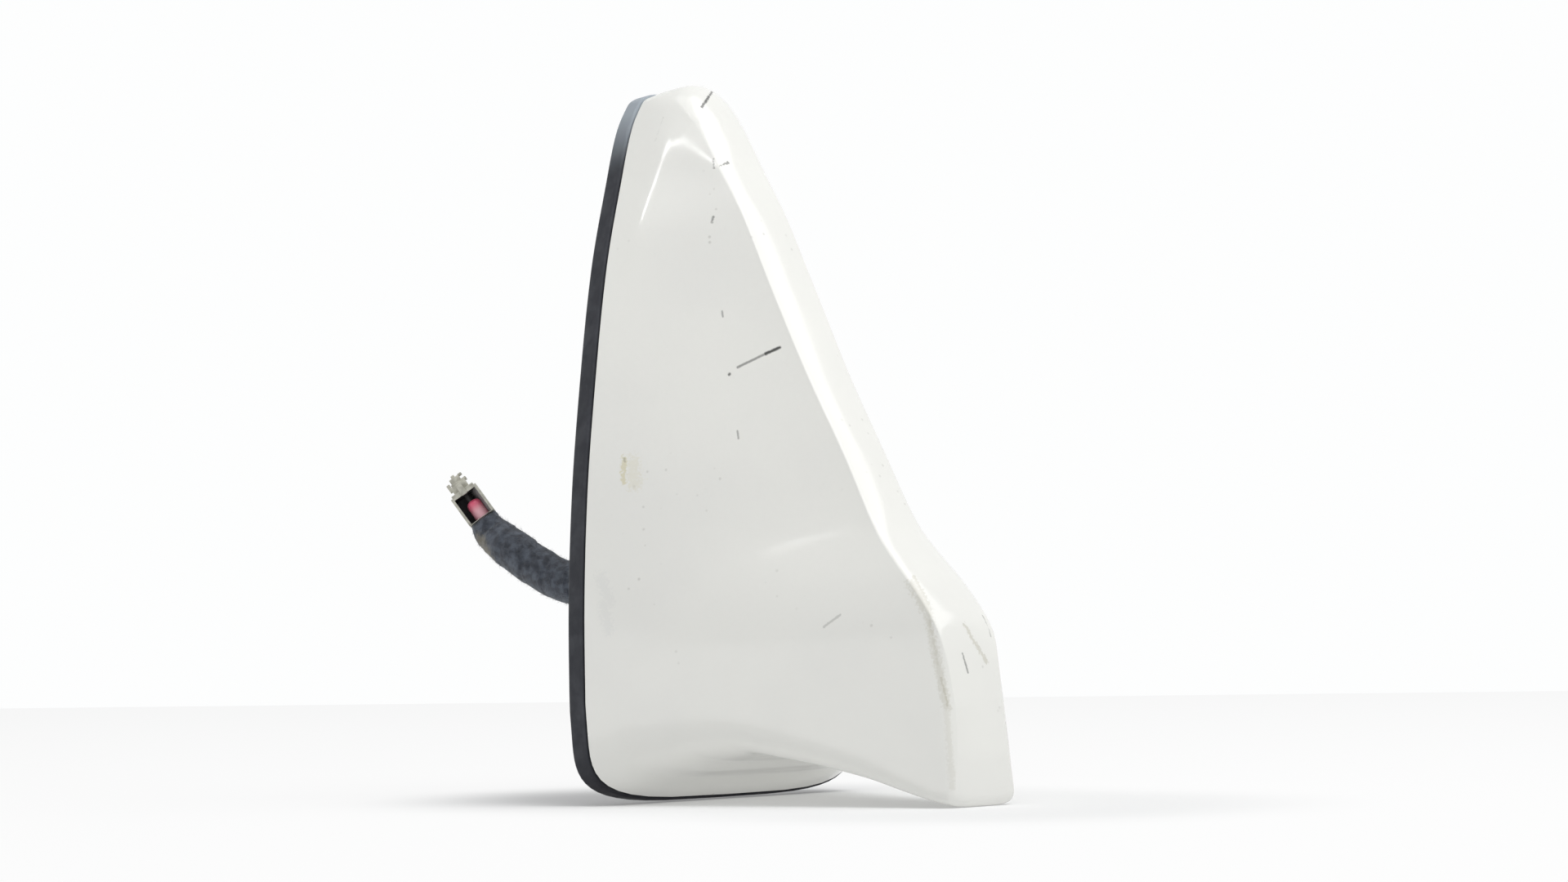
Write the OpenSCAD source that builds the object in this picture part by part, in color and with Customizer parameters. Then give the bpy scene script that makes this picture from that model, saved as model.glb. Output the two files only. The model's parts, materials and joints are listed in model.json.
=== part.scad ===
// Roof antenna for a car: a painted fin over an amplifier board, on a rubber
// gasket, with one hollow threaded stud through the roof and a taped pigtail.
// +X points to the nose, +Y to the left, +Z up. The origin lies on the stud's
// axis, at the roof skin, which the gasket's underside touches.

/* [Cover] */
// Stud axis to the tip of the nose
nose_len = 83.4; // [80:0.1:91]
// Stud axis back to the rear edge of the base
rear_len = 39.2; // [38:0.1:46]
// Widest half width of the base
base_half = 31.8; // [29:0.1:36]
// Roof skin to the highest point of the tail
fin_h = 63.8; // [60:0.1:70]
// How far the tail reaches back past the base
tail_over = 6.1; // [4:0.1:9]
// How far the hollow back of the fin is cut in, ahead of the base's rear edge
back_cut = 5.3; // [4:0.1:8]
// Width of the flat band along the ridge, on the slope
band_w = 10; // [9:0.1:12]
// Width of the band at the end of the tail
band_tail_w = 15.4; // [13:0.1:17]
// Wall of the painted cover
cover_wall = 2.2; // [1.8:0.1:2.6]

/* [Gasket and seal] */
// Height of the gasket's visible edge
gasket_h = 4; // [3.6:0.1:5]
// Thickness of the gasket's floor under the base plate
gasket_floor = 1.5; // [1:0.1:2]
// How far the gasket stands out past the cover
gasket_lip = 0.4; // [0:0.1:1]
// Width of the gasket's rim, measured inward from the cover's edge
gasket_rim = 3.2; // [2.6:0.1:4]
// Height of the flat seal between the base plate and the inner moulding
seal_h = 1; // [0.8:0.1:1.4]
// How far that seal's edge lies inside the plate's edge
seal_in = 0.6; // [0.4:0.1:1]
// Width of the seal
seal_w = 1.6; // [1.2:0.1:2]

/* [Base plate and stud] */
// Thickness of the die-cast base plate
plate_t = 3; // [2.4:0.1:4]
// Radius of the threaded stud over the thread
stud_r = 7; // [6:0.1:8]
// Radius of the cable bore through the stud
stud_bore_r = 4.5; // [4.2:0.1:5]
// How far the stud reaches below the roof skin
stud_len = 18; // [14:0.5:22]
// Free gap in the gasket around the stud and the pin
stud_gap = 1.5; // [1:0.1:2]
// Radius of the pin that stops the antenna turning on the roof
peg_r = 2.5; // [2:0.1:3]
// How far that pin reaches below the roof skin
peg_len = 5; // [3:0.5:7]
// Stud axis forward to the pin
peg_x = 24; // [20:0.5:27]

/* [Boards] */
// Plate top to the underside of the amplifier board
board_lift = 4.5; // [4:0.1:6]
// Thickness of the amplifier board
board_t = 1.6; // [1:0.1:2]
// Board length ahead of the stud axis
board_front = 52; // [50:0.5:54]
// Board length behind the stud axis
board_rear = 30; // [29:0.5:31]
// Stud axis forward to where the board starts to narrow
board_knee = 12; // [8:0.5:16]
// Half width of the board at its front end
board_nose_half = 11; // [10:0.5:11.5]
// Thickness of the upright phone aerial board
phone_t = 1; // [0.8:0.1:1.6]
// Stud axis forward to that board's rear edge
phone_back = 6; // [4:0.5:8]
// Stud axis forward to its front edge
phone_front = 30; // [28:0.5:31]
// Gap kept under the cover's ridge by the upright board
ridge_gap = 3.2; // [2.6:0.1:5]
// Side of the satellite receiver's ceramic block
patch_w = 18; // [16:0.5:18.5]
// Height of the ceramic block
patch_h = 4; // [3:0.5:5]

/* [Radio coil] */
// Wire diameter of the radio coil
coil_wire = 1; // [0.8:0.1:1.4]
// Radius of the coil former
former_r = 4; // [3.5:0.1:4.5]
// Turns of the coil
coil_turns = 11; // [7:1:13]
// Distance between two turns
coil_pitch = 2.5; // [2:0.1:2.8]
// Stud axis back to the coil's axis
coil_x = 20; // [18:0.5:22]
// Thickness of the folded top plate
hat_t = 0.5; // [0.4:0.1:0.8]
// Depth of the top plate's folded sides
hat_side = 9; // [6:0.5:11]

/* [Screws] */
// Shank radius of the cover screws
cover_screw_r = 1.5; // [1.25:0.05:1.75]
// Shank radius of the board screws
board_screw_r = 1.25; // [1:0.05:1.5]
// Clearance round a screw in the part that it passes through
screw_clear = 0.25; // [0.1:0.05:0.5]

/* [Pigtail and plug] */
// Radius of the taped pigtail
pigtail_r = 3.4; // [3.2:0.1:3.6]
// Radius of one coaxial lead
lead_r = 1.3; // [1.1:0.1:1.4]
// Width of the plug housing
plug_w = 5.4; // [5:0.1:6]
// Length of the plug housing
plug_len = 5.8; // [5.4:0.1:7]
// Wall of the plug housing
plug_wall = 0.55; // [0.4:0.05:0.8]
// Radius of the pink coaxial jacket inside the plug
jacket_r = 1.4; // [1.2:0.1:1.6]

/* [Hidden] */
$fn = 48;

fit_gap = 0.02;           // gap between a shaft and the hole that grips it
glue_gap = 0.16;          // room for the glue between the cover and the inner moulding
plate_z = gasket_floor;
plate_top = plate_z + plate_t;
plate_in = gasket_rim + 0.2;      // the plate's edge, inward from the cover's edge
board_z = plate_top + board_lift;
board_top = board_z + board_t;
board_half = base_half - 12.8;    // half width of the board at its wide end
frame_z = plate_top + seal_h;
frame_h = 2.5;
side_pow = 1.06;          // slight hollow of the side faces
back_pow = 4;             // how square a section's back corners are (2 is an ellipse)

// Each curve below is a list of points, joined smoothly by curve().
// Ridge: height against distance ahead of the stud.
slope_a = nose_len - 13.2;
slope_b = -3.4;
sl_h = fin_h - 44.8;              // height at the start of the straight slope
nose_h = sl_h - gasket_h;         // height of the rounded nose below it
ridge = [
    [gasket_h,                 nose_len],
    [gasket_h + 0.2 * nose_h,  nose_len + 0.6],
    [gasket_h + 0.37 * nose_h, nose_len + 0.8],
    [gasket_h + 0.53 * nose_h, nose_len - 0.4],
    [gasket_h + 0.7 * nose_h,  nose_len - 3.7],
    [gasket_h + 0.87 * nose_h, nose_len - 8.8],
    [sl_h,            slope_a],
    [fin_h - 40,      slope_a - 9.7],
    [fin_h - 34.1,    slope_a - 24.2],
    [fin_h - 27.8,    slope_a - 39.3],
    [fin_h - 21.2,    17],
    [fin_h - 14.4,    2.6],
    [fin_h - 9.8,     slope_b],
    [fin_h - 6.4,     -7.5],
    [fin_h - 3.3,     -12],
    [fin_h - 1.5,     -15.5],
    [fin_h - 0.6,     -20],
    [fin_h,           -28]];
// Back edge: height against distance ahead of the stud (negative is behind).
tail_x = -(rear_len + tail_over);
cut_x = -(rear_len - back_cut);
back = [
    [gasket_h,        -rear_len],
    [gasket_h + 3,    -rear_len + 1.3],
    [gasket_h + 6,    -rear_len + 2.9],
    [gasket_h + 10,   cut_x - 1.6],
    [gasket_h + 15,   cut_x - 0.3],
    [gasket_h + 21,   cut_x],
    [fin_h - 30.8,    cut_x - 1.6],
    [fin_h - 17.8,    cut_x - 5.5],
    [fin_h - 9.8,     tail_x + 2.7],
    [fin_h - 5.3,     tail_x + 1],
    [fin_h - 2.8,     tail_x + 0.2],
    [fin_h - 1.5,     tail_x],
    [fin_h - 0.6,     tail_x + 0.8],
    [fin_h,           tail_x + 8]];
// Half width of the base along its length.
half = [
    [-23,             base_half],
    [-8,              base_half - 1.3],
    [12,              base_half - 4],
    [32,              base_half - 7.9],
    [nose_len - 31.4, base_half - 12.6],
    [nose_len - 16.4, base_half - 17.5],
    [nose_len - 6.4,  band_w / 2 + 5.6],
    [nose_len - 1.4,  band_w / 2 + 2.4],
    [nose_len,        band_w / 2 + 1.2]];
// Half width of the band on the ridge.
band = [
    [tail_x,          band_tail_w / 2],
    [-35,             band_tail_w / 2 - 0.4],
    [-25,             band_tail_w / 2 - 0.9],
    [-8,              band_w / 2 + 1.1],
    [3,               band_w / 2 + 0.1],
    [17,              band_w / 2 - 0.2],
    [46,              band_w / 2 + 0.1],
    [nose_len - 6,    band_w / 2 - 0.3],
    [nose_len,        band_w / 2 - 0.4]];
// Roundness of the section's back corners against height.
corner = [[gasket_h, 12.4], [gasket_h + 8, 11], [gasket_h + 16, 9], [fin_h - 31, 8],
          [fin_h - 14, 6], [fin_h - 4, 3.5], [fin_h, 3]];
// Heights of the sections.
levels = concat(
    [for (i = [0:7]) gasket_h + nose_h * i / 8],
    [for (i = [0:3]) sl_h + (fin_h - 34.1 - sl_h) * i / 4],
    [for (i = [0:9]) fin_h - 34.1 + 27.7 * i / 10],
    [fin_h - 6.4, fin_h - 4.8, fin_h - 3.3, fin_h - 2.3, fin_h - 1.5, fin_h - 0.95,
     fin_h - 0.6, fin_h - 0.3, fin_h]);
// The section's rounded front: its depth, and how square it is (2 is an ellipse),
// against height counted in heights of the nose.
nose_depth = up_nose([[0, 2.2], [0.2, 3.6], [0.37, 4.5], [0.57, 4.2], [0.76, 3.2], [1, 2.2], [1.3, 1.7]]);
nose_power = up_nose([[0, 3], [0.2, 2.8], [0.53, 2.5], [0.8, 2.2]]);

function up_nose(p) = [for (q = p) [gasket_h + q[0] * nose_h, q[1]]];
// Turns a list of pairs round, so that a curve can be read the other way.
function flip(p) = [for (i = [len(p) - 1:-1:0]) [p[i][1], p[i][0]]];
function step(p, i) = (p[i + 1][1] - p[i][1]) / (p[i + 1][0] - p[i][0]);
function tangent(p, i) =
    i == 0 ? step(p, 0) : i == len(p) - 1 ? step(p, i - 1) :
    let (a = step(p, i - 1), b = step(p, i)) a * b <= 0 ? 0 : 2 * a * b / (a + b);
// Reads a curve at v, with no overshoot between its points.
function curve(v, p) =
    v <= p[0][0] ? p[0][1] : v >= p[len(p) - 1][0] ? p[len(p) - 1][1] :
    let (i = max([for (k = [0:len(p) - 2]) if (v >= p[k][0]) k]),
         h = p[i + 1][0] - p[i][0], t = (v - p[i][0]) / h,
         m0 = tangent(p, i) * h, m1 = tangent(p, i + 1) * h)
    (2 * t^3 - 3 * t^2 + 1) * p[i][1] + (t^3 - 2 * t^2 + t) * m0 +
    (3 * t^2 - 2 * t^3) * p[i + 1][1] + (t^3 - t^2) * m1;

ridge_of_x = flip([for (p = ridge) if (p[0] > gasket_h + 0.3 * nose_h) p]);   // above its foremost point
function ridge_x(z) = curve(z, ridge);
function back_x(z) = curve(z, back);
function ridge_z(x) = curve(x, ridge_of_x);
// Half width of the fin at a point of its side view.
function side_y(x, z) =
    let (top = max(ridge_z(x), gasket_h + 0.5),
         s = min(1, max(0, (z - gasket_h) / (top - gasket_h))),
         b = curve(x, band), h = curve(x, half))
    b + (max(h, b) - b) * (1 - s)^side_pow;
function bulge(q, n) = q >= 1 ? 1 : (1 - (1 - q)^n)^(1 / n);

// One half of a section: points from the nose end to the back end.
// xa and xb are its ends, rb the depth of its rounded back and nb its squareness.
function half_section(xa, xb, rb, nb, z, zs, inset) =
    let (rf = curve(z, nose_depth), nf = curve(z, nose_power)) concat(
    [for (j = [0:5]) let (q = 1 - cos(90 * j / 6), x = xa - rf * q)
        [x, max(0.02, side_y(x, zs) - inset) * bulge(q, nf), z]],
    [for (j = [0:11]) let (x = (xa - rf) + (xb + rb - xa + rf) * j / 12)
        [x, max(0.02, side_y(x, zs) - inset), z]],
    [for (j = [6:-1:0]) let (q = 1 - cos(90 * j / 6), x = xb + rb * q)
        [x, max(0.02, side_y(x, zs) - inset) * bulge(q, nb), z]]);
function whole(h) = concat(h, [for (i = [len(h) - 2:-1:1]) [h[i][0], -h[i][1], h[i][2]]]);
// Softens the last few levels, so that the band meets the sides in a small radius.
function top_inset(z) = let (d = fin_h - z) d >= 1.5 ? 0 : 0.5 * (1.5 - d)^2 + 0.15 * (1.5 - d);
function outer_ring(z, grow = 0) = whole(half_section(
    ridge_x(z) + grow, back_x(z) - grow, curve(z, corner), back_pow, z, z, top_inset(z) - grow));
// The hollow lies one wall inside, measured square to the sloping ridge.
cave_top = fin_h - cover_wall;
function cave_ring(z, t = cover_wall) =
    let (zz = z + 0.9 * t, xa = min(ridge_x(zz) - 0.42 * t, ridge_x(z) - t), xb = back_x(z) + 1.1 * t)
    whole(half_section(xa, xb, max(2, curve(z, corner) - 2), back_pow, z,
                       z + 0.35 * t, 1.07 * t));
cave_levels = concat([gasket_h], [for (v = levels) if (v > gasket_h + 1 && v < cave_top - 0.8) v],
                     [cave_top - 0.4, cave_top]);

// Turns every face round, since the lists below run the other way.
function turned(faces) = [for (f = faces) [for (i = [len(f) - 1:-1:0]) f[i]]];
// Stacks rings of equal length into one closed skin.
module stack(rings) {
    n = len(rings[0]);
    polyhedron(
        points = [for (r = rings) each r],
        faces = turned(concat(
            [for (i = [0:len(rings) - 2]) for (j = [0:n - 1])
                let (a = i * n + j, b = i * n + (j + 1) % n) each [[a, b, a + n], [b, b + n, a + n]]],
            [[for (j = [n - 1:-1:0]) j]],
            [[for (j = [0:n - 1]) (len(rings) - 1) * n + j]])),
        convexity = 6);
}
// A shell: an outer stack with an inner one open to the same floor.
module shell(outer, inner) {
    n = len(outer[0]);
    m = len(outer) * n;
    polyhedron(
        points = concat([for (r = outer) each r], [for (r = inner) each r]),
        faces = turned(concat(
            [for (i = [0:len(outer) - 2]) for (j = [0:n - 1])
                let (a = i * n + j, b = i * n + (j + 1) % n) each [[a, b, a + n], [b, b + n, a + n]]],
            [for (i = [0:len(inner) - 2]) for (j = [0:n - 1])
                let (a = m + i * n + j, b = m + i * n + (j + 1) % n) each [[a, a + n, b], [b, a + n, b + n]]],
            [for (j = [0:n - 1]) let (k = (j + 1) % n) each [[j, m + j, k], [k, m + j, m + k]]],
            [[for (j = [0:n - 1]) (len(outer) - 1) * n + j]],
            [[for (j = [n - 1:-1:0]) m + (len(inner) - 1) * n + j]])),
        convexity = 8);
}
// A closed band between two short stacks, open above and below.
module ring_band(outer, inner) {
    n = len(outer[0]);
    m = len(outer) * n;
    t = (len(outer) - 1) * n;
    polyhedron(
        points = concat([for (r = outer) each r], [for (r = inner) each r]),
        faces = turned(concat(
            [for (i = [0:len(outer) - 2]) for (j = [0:n - 1])
                let (a = i * n + j, b = i * n + (j + 1) % n) each [[a, b, a + n], [b, b + n, a + n]]],
            [for (i = [0:len(inner) - 2]) for (j = [0:n - 1])
                let (a = m + i * n + j, b = m + i * n + (j + 1) % n) each [[a, a + n, b], [b, a + n, b + n]]],
            [for (j = [0:n - 1]) let (k = (j + 1) % n) each [[j, m + j, k], [k, m + j, m + k]]],
            [for (j = [0:n - 1]) let (k = (j + 1) % n)
                each [[t + j, t + k, m + t + j], [t + k, m + t + k, m + t + j]]])),
        convexity = 6);
}
// A swept tube through points p, with sides n.
function unit(v) = v / norm(v);
function way(p, i) = unit(p[min(len(p) - 1, i + 1)] - p[max(0, i - 1)]);
function hoop(c, d, ref, r, n) =
    let (u = unit(cross(d, ref)), v = cross(d, u))
    [for (k = [0:n - 1]) c + r * (cos(360 * k / n) * u + sin(360 * k / n) * v)];
module tube(p, r, n, ref = [0, 1, 0]) {
    stack([for (i = [0:len(p) - 1]) hoop(p[i], way(p, i), ref, r, n)]);
}
// Base outline, moved inward by d, as flat points.
function outline(d) = [for (q = outer_ring(gasket_h, -d)) [q[0], q[1]]];

// Places that several pieces share.
frame_screws = [[58, 5.5], [58, -5.5], [-22, base_half - 9.3], [-22, 9.3 - base_half]];
board_posts = [[28, 12], [28, -12], [-24, 14], [-24, -14]];
screw_head_r = 2.8;
screw_head_h = 1.6;
post_r = 3;
boss_r = 2.9;
boss_h = 6;
hole_r = cover_screw_r + screw_clear;
coil_z = board_top;
hat_z = fin_h - cover_wall - 3.2;
hat_half = 3.6;
former_top = hat_z - hat_side - 0.8;
post_w = former_r * 1.35;         // square post inside the round former
hat_front = -17;
hat_back = tail_x + 8;
patch_x = 42;
vent = [14.5, 0];
vent_r = 2.6;

module cover() {
    color("white") shell([for (z = levels) outer_ring(z)], [for (z = cave_levels) cave_ring(z)]);
}

// Inner moulding, glued inside the cover's foot, that takes the cover screws.
module cover_frame() {
    t = cover_wall + glue_gap;
    color("gray") difference() {
        union() {
            ring_band([for (z = [frame_z, frame_z + frame_h]) cave_ring(z, t)],
                      [for (z = [frame_z, frame_z + frame_h]) cave_ring(z, t + 2.4)]);
            for (p = frame_screws) {
                translate([p[0], p[1], frame_z]) cylinder(r = boss_r, h = boss_h);
                s = sign(p[1]);
                w = side_y(p[0], frame_z + frame_h) - cover_wall * 1.07 - 1.2 - abs(p[1]);
                translate([p[0] - 1.5, s > 0 ? p[1] : p[1] - w, frame_z]) cube([3, w, frame_h]);
            }
        }
        for (p = frame_screws)
            translate([p[0], p[1], frame_z - 1]) cylinder(r = cover_screw_r + fit_gap, h = boss_h + 0.5);
    }
}

module base_seal() {
    color("black") translate([0, 0, plate_top]) linear_extrude(seal_h) difference() {
        polygon(outline(plate_in + seal_in));
        polygon(outline(plate_in + seal_in + seal_w));
    }
}

module gasket() {
    color([0.25, 0.26, 0.28]) difference() {
        linear_extrude(gasket_h) polygon(outline(-gasket_lip));
        translate([0, 0, gasket_floor]) linear_extrude(gasket_h) polygon(outline(gasket_rim));
        translate([0, 0, -1]) cylinder(r = stud_r + stud_gap, h = gasket_floor + 2);
        translate([peg_x, 0, -1]) cylinder(r = peg_r + stud_gap, h = gasket_floor + 2);
        translate([vent[0], vent[1], -1]) cylinder(r = vent_r + 0.5, h = gasket_floor + 2);
        for (p = frame_screws)
            translate([p[0], p[1], -1]) cylinder(r = screw_head_r + 0.6, h = gasket_floor + 2);
    }
}

module base_plate() {
    color("silver") difference() {
        union() {
            translate([0, 0, plate_z]) linear_extrude(plate_t) polygon(outline(plate_in));
            translate([0, 0, -stud_len]) cylinder(r = stud_r, h = stud_len + plate_z + 0.5);
            translate([peg_x, 0, -peg_len]) cylinder(r = peg_r, h = peg_len + plate_z + 0.5);
            for (p = board_posts) translate([p[0], p[1], plate_top - 0.5]) cylinder(r = post_r, h = board_lift + 0.5);
        }
        translate([0, 0, -stud_len - 1]) cylinder(r = stud_bore_r, h = stud_len + plate_top + 2);
        for (p = frame_screws) translate([p[0], p[1], plate_z]) {
            translate([0, 0, -1]) cylinder(r = screw_head_r + 0.2, h = screw_head_h + 1);
            cylinder(r = hole_r, h = plate_t + 1);
        }
        for (p = board_posts) translate([p[0], p[1], plate_top + 0.5]) cylinder(r = board_screw_r + fit_gap, h = board_lift);
        translate([vent[0], vent[1], plate_z - 1]) cylinder(r = vent_r, h = plate_t + 2);
    }
}

// A pan head screw, head down at z = 0, with a cross recess.
module screw(r, head_r, head_h, len) {
    difference() {
        cylinder(r = head_r, h = head_h);
        for (a = [0, 90]) rotate([0, 0, a]) translate([-head_r * 0.6, -0.35, -1]) cube([head_r * 1.2, 0.7, 1 + head_h * 0.5]);
    }
    translate([0, 0, head_h]) cylinder(r = r, h = len);
}

module cover_screws() {
    color("dimgray") for (p = frame_screws) translate([p[0], p[1], plate_z])
        screw(cover_screw_r, screw_head_r, screw_head_h, plate_t - screw_head_h + seal_h + boss_h - 1);
}

module vent_plug() {
    color("black") translate([vent[0], vent[1], plate_z]) {
        cylinder(r = vent_r - fit_gap, h = plate_t);
        translate([0, 0, plate_t]) cylinder(r = vent_r + 0.8, h = 0.6);
    }
}

module board_shape() {
    polygon([[-board_rear, -board_half], [board_knee, -board_half], [board_front, -board_nose_half],
             [board_front, board_nose_half], [board_knee, board_half], [-board_rear, board_half]]);
}
module amp_board() {
    color("darkgreen") translate([0, 0, board_z]) linear_extrude(board_t) difference() {
        board_shape();
        for (p = board_posts) translate(p) circle(r = board_screw_r + screw_clear);
        translate([patch_x, 0]) circle(r = 0.75);
    }
}

module board_screws() {
    color("silver") for (p = board_posts) translate([p[0], p[1], board_top + 1.2]) mirror([0, 0, 1])
        screw(board_screw_r, 2.3, 1.2, board_t + board_lift - 1);
}

module board_chips() {
    chip_y = board_half - 6;      // the chips' rows, at both sides of the coil and the patch
    color([0.1, 0.1, 0.11]) for (c = [[-6, 1, 5, 4, 1.2], [-6, -1, 4, 4, 1], [4, 1, 3, 6, 1.6],
                                     [16, -1, 6, 3, 1.4], [-14, -1, 3, 3, 1], [-14, 1, 2, 4, 1.8]])
        translate([c[0] - c[2] / 2, c[1] * chip_y - c[3] / 2, board_top]) cube([c[2], c[3], c[4]]);
}

module shield_can() {
    l = 12; w = 14; h = 3; t = 0.3;
    color("lightgray") translate([-11 - l, -w / 2, board_z - h]) difference() {
        cube([l, w, h]);
        translate([t, t, t]) cube([l - 2 * t, w - 2 * t, h]);
    }
}

module patch_ceramic() {
    color([0.75, 0.72, 0.66]) translate([patch_x, 0, board_top]) difference() {
        translate([-patch_w / 2, -patch_w / 2, 0]) cube([patch_w, patch_w, patch_h]);
        translate([0, 0, -1]) cylinder(r = 0.6, h = patch_h + 2);
    }
}
module patch_electrode() {
    e = patch_w - 4;
    color("gold") translate([patch_x, 0, board_top + patch_h]) linear_extrude(0.2) difference() {
        polygon([[-e / 2, -e / 2], [e / 2 - 1.6, -e / 2], [e / 2, -e / 2 + 1.6], [e / 2, e / 2],
                 [-e / 2 + 1.6, e / 2], [-e / 2, e / 2 - 1.6]]);
        circle(r = 0.6);
    }
}
module patch_pin() {
    color("silver") translate([patch_x, 0, board_z - 1]) {
        cylinder(r = 0.45, h = board_t + patch_h + 1.2);
        translate([0, 0, board_t + patch_h + 1.2]) cylinder(r = 0.95, h = 0.4);
    }
}

// Upright board whose top edge follows the ridge.
function under_ridge(x, g) = ridge_z(x) - cover_wall * 1.15 - g;
function phone_edge(g) = concat(
    [for (i = [0:8]) let (x = phone_back + g + (phone_front - phone_back - 2 * g) * i / 8)
        [x, under_ridge(x, ridge_gap + g)]],
    [[phone_front - g, board_top + g * 2], [phone_back + g, board_top + g * 2]]);
module phone_board() {
    color("darkgreen") rotate([90, 0, 0]) translate([0, 0, -phone_t / 2])
        linear_extrude(phone_t) polygon(phone_edge(0));
}
module phone_foil() {
    color([0.8, 0.5, 0.3]) rotate([90, 0, 0]) translate([0, 0, -phone_t / 2 - 0.2]) linear_extrude(0.2) difference() {
        polygon(phone_edge(1.5));
        translate([phone_back + 6, board_top + 7]) square([phone_front - phone_back - 7, 1.5]);
        translate([phone_back - 1, board_top + 12]) square([phone_front - phone_back - 7, 1.5]);
    }
}

module coil_former() {
    color("ivory") translate([-coil_x, 0, coil_z]) {
        cylinder(r = former_r + 2, h = 1.5);
        cylinder(r = former_r, h = former_top - coil_z);
        translate([-post_w / 2, -post_w / 2, 0]) cube([post_w, post_w, hat_z - coil_z]);
    }
}

module radio_coil() {
    r = former_r + coil_wire / 2 + 0.2;
    n = coil_turns * 14;
    z0 = coil_z + 1.5 + coil_wire;
    color([0.8, 0.5, 0.3]) stack([for (i = [0:n]) let (a = 360 * coil_turns * i / n,
        c = [-coil_x + r * cos(a), r * sin(a), z0 + coil_pitch * a / 360],
        d = unit([-sin(a) * r, cos(a) * r, coil_pitch / 6.2832]))
        hoop(c, d, [0, 0, 1], coil_wire / 2, 6)]);
}

// Folded plate under the tail that lengthens the radio aerial.
module top_plate() {
    l = hat_front - hat_back;
    color("lightgray") translate([hat_back, 0, hat_z]) difference() {
        translate([0, -hat_half, -hat_side]) cube([l, 2 * hat_half, hat_side + hat_t]);
        translate([-1, -hat_half + hat_t, -hat_side - 1]) cube([l + 2, 2 * (hat_half - hat_t), hat_side + 1]);
        translate([0, 0, -hat_side]) rotate([90, 0, 0]) linear_extrude(20, center = true)
            polygon([[-1, -1], [-1, hat_side - 3], [6, -1]]);
    }
}

// Right-angle sockets under the board, each turned towards the stud.
lead_ends = [[-8, 8], [-8, -8], [8, 9]];
socket_w = 4.4;
socket_h = 4;
lead_z = board_z - 2.1;
module lead_sockets() {
    color("gold") for (p = lead_ends) translate([p[0], p[1], board_z - socket_h]) rotate([0, 0, atan2(p[1], p[0])]) difference() {
        translate([-socket_w / 2, -socket_w / 2, 0]) cube([socket_w, socket_w, socket_h]);
        translate([-3, 0, socket_h - board_z + lead_z]) rotate([0, 90, 0]) cylinder(r = lead_r + fit_gap, h = 3);
    }
}
tape_top = -10;
// How far each lead swings round the stud's axis on its way down.
lead_swing = [0, 30, -33.4];
function polar(r, a, z) = [r * cos(a), r * sin(a), z];
module coax_leads() {
    color([0.2, 0.2, 0.22]) for (i = [0:2]) {
        r0 = norm(lead_ends[i]);
        a0 = atan2(lead_ends[i][1], lead_ends[i][0]);
        a1 = a0 + lead_swing[i];
        tube([polar(r0, a0, lead_z), polar(r0 - 2.6, a0, lead_z), polar(6.6, a0 * 0.85 + a1 * 0.15, lead_z - 0.15),
              polar(4.6, (a0 + a1) / 2, lead_z - 0.45), polar(3, a0 * 0.15 + a1 * 0.85, plate_top + 1.1),
              polar(2.1, a1, plate_top - 0.6), polar(1.75, a1, plate_z - 1), polar(1.75, a1, tape_top)],
             lead_r, 8, [-sin(a0), cos(a0), 0]);
    }
}

grommet_len = 7.5;                // how deep it sits in the stud
grommet_lip = 1.5;
module cable_grommet() {
    color("black") translate([0, 0, -stud_len - grommet_lip]) difference() {
        union() {
            cylinder(r = stud_bore_r - fit_gap, h = grommet_lip + grommet_len);
            cylinder(r = stud_r - 1, h = grommet_lip);
        }
        translate([0, 0, -1]) cylinder(r = pigtail_r + 0.05, h = grommet_lip + grommet_len + 2);
    }
}

// Route of the taped pigtail, from inside the stud to the plug.
route = [[0, 0, tape_top], [0, 0, -16], [0, 0, -22], [0.3, 0.6, -27], [1.6, 2, -32],
         [4.6, 3.4, -37], [8.2, 4.9, -41.5], [11.6, 5.9, -45.6], [14.6, 7.2, -46.9]];
module pigtail_tape() {
    color([0.2, 0.22, 0.27]) tube(route, pigtail_r, 12);
}

// The plug's own axes: x along the lead, z towards the open side of the housing.
plug_at = route[8];
module at_plug() {
    translate(plug_at) rotate([-45, 0, 0]) rotate([0, 0, 31.5]) children();
}
pw = plug_w;
module plug_housing() {
    color("gainsboro") at_plug() translate([0.1, 0, 0]) difference() {
        translate([0, -pw / 2, -pw / 2]) cube([plug_len, pw, pw]);
        translate([0.9, -pw / 2 + plug_wall, -pw / 2 + plug_wall]) cube([plug_len - 1.6, pw - 2 * plug_wall, pw]);
        translate([-1, 0, 0]) rotate([0, 90, 0]) cylinder(r = jacket_r + 0.03, h = 3);
        translate([plug_len - 2, 0, 0]) rotate([0, 90, 0]) cylinder(r = 0.53, h = 3);
    }
}
module plug_jacket() {
    color([0.9, 0.3, 0.4]) at_plug() translate([0.1, 0, 0]) rotate([0, 90, 0]) cylinder(r = jacket_r, h = plug_len - 2.2);
}
module plug_contact() {
    color("gold") at_plug() translate([plug_len - 2.1, 0, 0]) rotate([0, 90, 0]) cylinder(r = 0.5, h = 4.2);
}
module plug_collar() {
    color("gainsboro") at_plug() translate([plug_len + 0.1, 0, 0]) difference() {
        union() {
            translate([0, -1.8, -1.8]) cube([2, 3.6, 3.6]);
            translate([2, -1.4, -1.4]) cube([1.4, 2.8, 2.8]);
            translate([2.4, -1.9, 0.8]) cube([0.7, 3.8, 1.1]);
            translate([0, -0.6, 1.8]) cube([1.5, 1.2, 0.8]);
        }
        translate([-1, 0, 0]) rotate([0, 90, 0]) cylinder(r = 0.53, h = 6);
        translate([2.2, 0, 0]) rotate([0, 90, 0]) cylinder(r = 1.05, h = 6);
    }
}

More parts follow.
